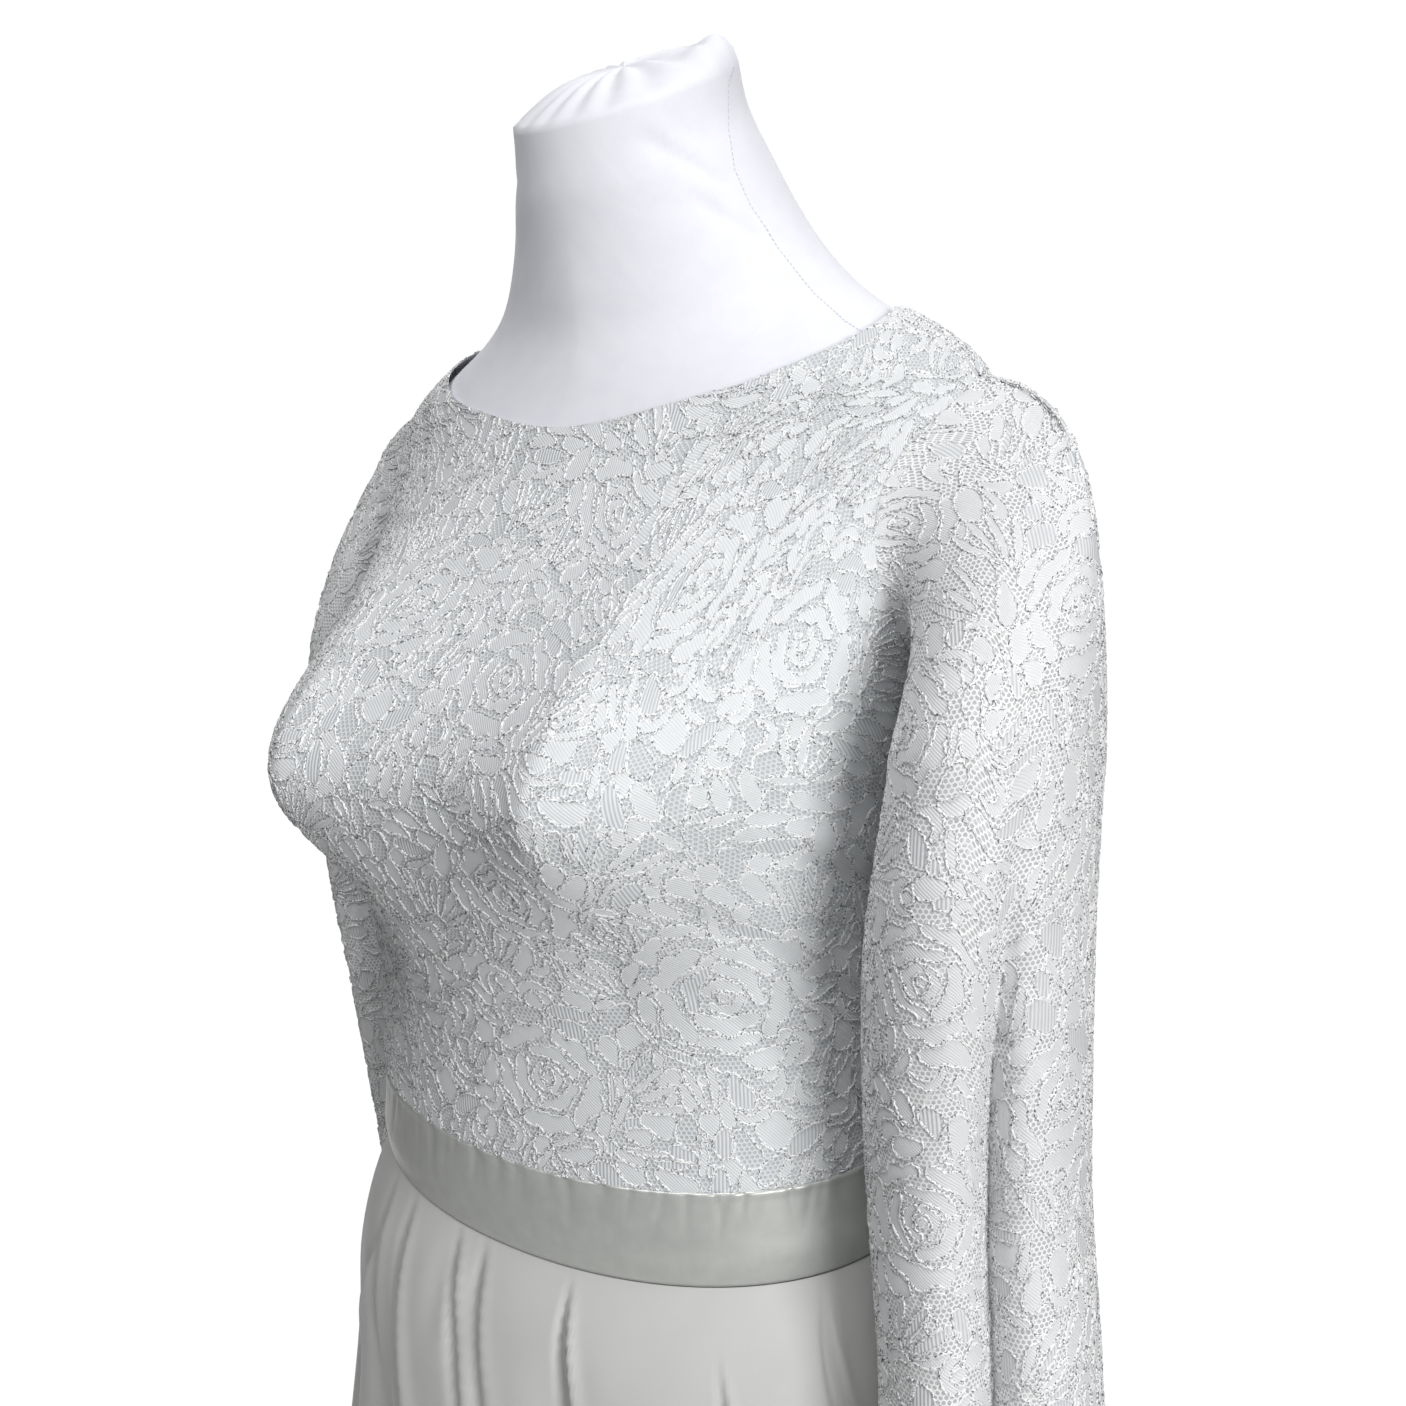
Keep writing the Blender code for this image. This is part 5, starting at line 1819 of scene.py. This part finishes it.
@dataclass
class Form:
    """The form's jersey cover, gathered at the neck, and the board at its foot."""

    dressed: DressFinishes
    bust: float = 0.72
    gap: float = 0.0034
    gap_shoulder: float = 0.0028
    probe_rows: float = 0.01
    probe_turn: float = 0.002
    cover_lift: float = 0.0002
    cap_rise: float = 0.012
    columns: int = 150
    body_rows: int = 110
    cap_rows: int = 24
    stitch_mm: float = 1.7
    stitch_half: float = 0.32
    stitch_apart: float = 1.6
    stitch_lifts: Triple = (0.02, 0.30, 0.02)
    gathers: int = 17
    gather_deep: float = 0.0007
    bunch_turn: float = 0.62
    bunch_rise: float = 0.009
    seam: tuple[tuple[float, float], ...] = (
        (0.590, 0.820),
        (0.535, 0.807),
        (0.465, 0.775),
        (0.410, 0.745),
        (0.390, 0.715),
        (0.383, 0.690),
        (0.378, 0.670),
        (0.365, 0.625),
        (0.355, 0.583),
        (0.360, 0.540),
    )
    board_share: float = 0.992
    board_rise: float = 0.0012
    board_thick: float = 0.006
    drags: tuple[Crease, ...] = (
        ((0.200, 0.797), (0.400, 0.722), (4.0, 3.0), 0.0013),
        ((0.260, 0.728), (0.395, 0.670), (5.0, 3.0), 0.0015),
        ((-0.400, 0.722), (-0.210, 0.790), (3.0, 4.0), 0.0012),
    )

    def skin(self, u: Array, v: Array) -> Array:
        """Return points of the cover, from its foot over the neck's cap."""
        turn = np.pi * u
        rows = self.body_rows + self.cap_rows
        share = np.clip(v * rows / self.body_rows, 0, 1)
        last = len(TORSO_ROWS.rows) - 1
        place = last * share
        spot = TORSO.point(turn, place, self.bust)
        low = TORSO.point(turn, np.maximum(place - self.probe_rows, 0), self.bust)
        high = TORSO.point(turn, np.minimum(place + self.probe_rows, last), self.bust)
        before = TORSO.point(turn - self.probe_turn, place, self.bust)
        beyond = TORSO.point(turn + self.probe_turn, place, self.bust)
        normal = unit(np.cross(beyond - before, high - low))
        near = ease((spot[..., 2] - CUT.underarm) / (CUT.shoulder_tip - CUT.underarm))
        spot = spot - normal * (self.gap + (self.gap_shoulder - self.gap) * near)[..., None]
        over = np.clip((v * rows - self.body_rows) / self.cap_rows, 0, 1)
        rim = spot[-1:, :, :]
        middle = rim[:, :-1].mean(axis=1, keepdims=True)
        cap = middle + (spot - middle) * (1 - over)[..., None]
        cap[..., 2] += self.cap_rise * np.sin(0.5 * np.pi * np.clip(over * 1.6, 0, 1))
        pull = over**0.5 * (1 - over)
        ripple = np.cos(self.gathers * turn + 1.3 * np.sin(3 * turn))
        cap[..., 2] += 4 * self.gather_deep * pull * ripple
        cap[..., 2] += self.bunch_rise * bump(u - self.bunch_turn, 0.22) * bump(over - 0.16, 0.17)
        return np.where((over > 0)[..., None], cap, spot)

    def build(self) -> None:
        """Make the cover and the foot board."""
        rows = self.body_rows + self.cap_rows
        grid = ClothGrid(self.skin, self.columns, rows, self.cover_lift, 0.5)
        grid.press(sum(grid.crease(*drag) for drag in self.drags))
        cover = keep(grid.mesh_object("form_cover", True), self.dressed.jersey)
        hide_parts("dress_form")
        self.sew_seams(grid)
        self.foot_board(grid)
        log.info("form_cover: %.3f m2 of jersey", grid.area)

    def sew_seams(self, grid: ClothGrid) -> None:
        """Sew a row of small stitches along the neck of each side seam."""
        rails, breaks = [], []
        for side in (1, -1):
            u, v = np.array(self.seam).T
            column, row = 0.5 * (side * u + 1) * grid.columns, v * grid.rows
            path = np.stack([grid.sample(a, column, row) for a in (grid.s, grid.t)], axis=-1)
            run = np.concatenate([[0.0], np.cumsum(np.linalg.norm(np.diff(path, axis=0), axis=1))])
            starts = np.arange(1.0, run[-1] - 3, self.stitch_mm * self.stitch_apart)
            at = (starts[:, None] + self.stitch_mm * np.array([0, 0.5, 1.0])).ravel()
            spots = np.stack([np.interp(at, run, path[:, k]) for k in (0, 1)], axis=-1)
            beyond = np.stack([np.interp(at + 0.5, run, path[:, k]) for k in (0, 1)], axis=-1)
            ahead = unit(beyond - spots)
            aside = self.stitch_half * np.stack([-ahead[:, 1], ahead[:, 0]], axis=-1)
            rails.append(np.stack([spots - aside, spots, spots + aside]))
            breaks += [3] * len(starts)
        flat = np.concatenate(rails, axis=1)
        lift = np.tile(np.array(self.stitch_lifts)[:, None], (1, flat.shape[1]))
        column, row = grid.locate(flat.reshape(-1, 2))
        points = grid.lifted(column, row, lift.ravel()).reshape(3, -1, 3)
        stitches = strips_object("form_seam_stitches", points, flat, np.cumsum(breaks) - 1)
        keep(stitches, self.dressed.thread)

    def foot_board(self, grid: ClothGrid) -> None:
        """Make the board that closes the form's foot."""
        bm = bmesh.new()
        bmesh.ops.create_circle(bm, cap_ends=True, segments=self.columns, radius=1.0)
        bm.verts.ensure_lookup_table()
        rim = grid.points[0, :-1]
        middle = rim.mean(axis=0)
        for vertex, spot in zip(bm.verts, rim):
            vertex.co = middle + (spot - middle) * self.board_share + (0, 0, self.board_rise)
        bmesh.ops.solidify(bm, geom=bm.faces[:], thickness=self.board_thick)
        bmesh.ops.recalc_face_normals(bm, faces=bm.faces)
        keep(built_object("form_foot_board", bm), self.dressed.board)


@dataclass
class ZipFastener:
    """The concealed zip: a strip of coil, its slider and the pull tab."""

    dressed: DressFinishes
    half: float = 0.0012
    rows: int = 900
    coil_mm: float = 1.3
    lift: float = 0.0007
    tooth_deep: float = 0.00018
    tooth_half_mm: float = 1.3

    def surface(self, u: Array, v: Array) -> Array:
        """Return points of the strip from its foot to the neckline."""
        foot = CUT.band_bottom - CUT.skirt_drop - CUT.zip_below_band + CUT.seam_half
        z = foot + v * (CUT.neck_back - CUT.seam_half - foot)
        upper = TORSO.point(np.full_like(z, np.pi), TORSO_ROWS.place_of(z))
        top = CUT.band_bottom - CUT.skirt_drop
        lower = Skirt(self.dressed).point(np.full_like(z, np.pi), np.clip(top - z, 0, 1))
        spot = np.where((z < top)[..., None], lower, upper)
        spot[..., 0] = -u * self.half
        return spot

    def build(self) -> None:
        """Make the coil strip and dress the slider and pull."""
        grid = ClothGrid(self.surface, 4, self.rows, self.lift, 0.5)
        crown = np.cos(0.5 * np.pi * grid.s / self.tooth_half_mm)
        teeth = self.tooth_deep * np.sin(2 * np.pi * grid.t / self.coil_mm) * crown
        grid.press(teeth)
        strip = keep(grid.mesh_object("zip_coil"), self.dressed.thread)
        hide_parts("zip_strip")
        for node in ("zip_slider", "zip_pull"):
            dress_node(node, self.dressed.enamel)
        log.info("zip: %.0f mm of coil", np.ptp(grid.t))


def dress_node(node: str, material: bpy.types.Material) -> None:
    """Give a carried-over node its finish."""
    mesh = frame["nodes"][node].data
    mesh.materials.clear()
    mesh.materials.append(material)


@dataclass
class Stand:
    """The pole and the round base, dressed as they were packed."""

    dressed: DressFinishes

    def build(self) -> None:
        """Dress the two nodes."""
        dress_node("stand_pole", self.dressed.steel)
        dress_node("stand_base", self.dressed.paint)
        log.info("stand: pole and base dressed")


@dataclass
class Studio:
    """The pale floor, the lights and the camera."""

    camera_turn: float = 38.29
    camera_away: float = 0.6855
    camera_high: float = 1.3788
    pitch: float = 11.49
    yaw: float = 1.96
    roll: float = -2.25
    focal: float = 1334.0
    pixels: float = 1406.0
    sensor_mm: float = 36.0
    floor_half: float = 14.0
    sweep_near: float = 0.88
    sweep_run: float = 7.5
    sweep_bend: float = 1.2
    sweep_long: float = 16.0
    sweep_half: float = 0.55
    sweep_spread: float = 0.66
    sweep_rise: float = 0.004
    wall_from: float = 9.4
    lights: tuple[tuple[str, Triple, Triple, float, float], ...] = (
        ("key", (2.80, -1.24, 1.84), (0.0, -0.05, 1.08), 1.4, 66.0),
        ("upper fill", (0.25, -1.25, 3.90), (0.0, -0.05, 1.2), 1.3, 45.0),
        ("back fill", (-1.0, 2.4, 4.2), (0.0, 0.05, 1.0), 1.4, 36.0),
    )

    def build(self) -> None:
        """Set up the studio."""
        self.make_camera()
        self.make_floor()
        self.make_sweep()
        for light in self.lights:
            self.make_light(*light)
        world = bpy.data.worlds.new("studio")
        bpy.context.scene.world = world
        world.use_nodes = True
        background = world.node_tree.nodes["Background"]
        background.inputs["Color"].default_value = linear("#F4F6FA")
        background.inputs["Strength"].default_value = 0.10
        bpy.context.scene.view_settings.view_transform = "Standard"
        bpy.context.scene.view_settings.look = "None"

    def make_camera(self) -> None:
        """Set the camera at the photograph's place and angle."""
        turn = np.radians(self.camera_turn)
        gaze = np.radians(self.camera_turn - self.yaw)
        pitch, roll = np.radians(self.pitch), np.radians(self.roll)
        away = self.camera_away
        place = Vector((away * np.sin(turn), -away * np.cos(turn), self.camera_high))
        ahead = Vector((-np.sin(gaze) * np.cos(pitch), np.cos(gaze) * np.cos(pitch), -np.sin(pitch)))
        right = ahead.cross(Vector((0, 0, 1))).normalized()
        up = right.cross(ahead)
        rolled_right = right * np.cos(roll) + up * np.sin(roll)
        rolled_up = up * np.cos(roll) - right * np.sin(roll)
        data = bpy.data.cameras.new("photograph")
        data.sensor_width = self.sensor_mm
        data.lens = self.focal / self.pixels * self.sensor_mm
        data.clip_start, data.clip_end = 0.02, 60.0
        camera = bpy.data.objects.new("photograph", data)
        basis = Matrix((rolled_right, rolled_up, -ahead)).transposed().to_4x4()
        camera.matrix_world = Matrix.Translation(place) @ basis
        bpy.context.scene.collection.objects.link(camera)
        bpy.context.scene.camera = camera

    def make_floor(self) -> None:
        """Lay the pale floor."""
        bm = bmesh.new()
        bmesh.ops.create_grid(bm, x_segments=4, y_segments=4, size=self.floor_half)
        self.set_up(built_object("floor", bm), STUDIO_PAPER.make())

    def make_sweep(self) -> None:
        """Lay the lit white sweep behind the form, on the floor and then up."""
        bm = bmesh.new()
        bmesh.ops.create_grid(bm, x_segments=2, y_segments=40, size=1.0)
        gaze = np.radians(self.camera_turn - self.yaw)
        for vertex in bm.verts:
            run = 0.5 * (vertex.co.y + 1) * self.sweep_long
            bend = min(max(run - self.sweep_run, 0) / self.sweep_bend, np.pi / 2)
            along = self.sweep_near + min(run, self.sweep_run) + self.sweep_bend * np.sin(bend)
            up = self.sweep_rise + self.sweep_bend * (1 - np.cos(bend)) + max(run - self.wall_from, 0)
            aside = vertex.co.x * (self.sweep_half + self.sweep_spread * along)
            vertex.co = (
                -along * np.sin(gaze) + aside * np.cos(gaze),
                along * np.cos(gaze) + aside * np.sin(gaze),
                up,
            )
        self.set_up(built_object("sweep", bm), LitPaper().make())

    @staticmethod
    def set_up(piece: bpy.types.Object, material: bpy.types.Material) -> None:
        """Dress a piece of the studio and put it on the stage."""
        piece.data.materials.append(material)
        bpy.context.scene.collection.objects.link(piece)
        piece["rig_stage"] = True

    def make_light(self, name: str, place: Triple, aim: Triple, size: float, power: float) -> None:
        """Hang a square soft light that faces a point.

        Args:
            name: The light's name.
            place: Where it hangs.
            aim: What it faces.
            size: Its side, in metres.
            power: Its power in watts.
        """
        data = bpy.data.lights.new(name, "AREA")
        data.size = size
        data.energy = power
        light = bpy.data.objects.new(name, data)
        light.location = place
        light.rotation_mode = "QUATERNION"
        light.rotation_quaternion = (Vector(aim) - Vector(place)).to_track_quat("-Z", "Y")
        bpy.context.scene.collection.objects.link(light)


def log_triangles() -> None:
    """Log how many triangles the script adds, and its largest pieces."""
    scene_graph = bpy.context.evaluated_depsgraph_get()
    counts = []
    for piece in bpy.context.scene.objects:
        if piece.type != "MESH" or piece.name in frame["nodes"] or piece.get("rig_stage"):
            continue
        mesh = piece.evaluated_get(scene_graph).to_mesh()
        counts.append((sum(len(face.vertices) - 2 for face in mesh.polygons), piece.name))
    largest = ", ".join(f"{name} {count}" for count, name in sorted(counts, reverse=True)[:40])
    log.info("%d triangles in all: %s", sum(count for count, _ in counts), largest)


def main() -> None:
    """Build every piece in order."""
    logging.basicConfig(level=logging.INFO, format="%(name)s %(message)s")
    dressed = DressFinishes.make()
    lace = LaceRepeat()
    sleeve_room = ((9.5, 12.0, 6.4, 500), (6.5, 9.0, 4.5, 600), (4.2, 6.0, 3.0, 450))
    sleeve_lace = LaceRepeat(seed=19, leaves=30, blades=26, scrolls=36, pebbles=sleeve_room)
    log.info("lace repeats: %d and %d figures", len(lace.figures), len(sleeve_lace.figures))
    Studio().build()
    Form(dressed).build()
    Stand(dressed).build()
    Bodice(dressed, lace).build()
    Sleeve("sleeve_left", LEFT_SLEEVE_ROWS, 1, dressed, sleeve_lace, 1.7, (40.0, 30.0)).build()
    Sleeve("sleeve_right", RIGHT_SLEEVE_ROWS, -1, dressed, sleeve_lace, 2.7, (10.0, 90.0)).build()
    Waistband(dressed).build()
    Skirt(dressed).build()
    ZipFastener(dressed).build()
    log_triangles()


if __name__ == "__main__":
    main()
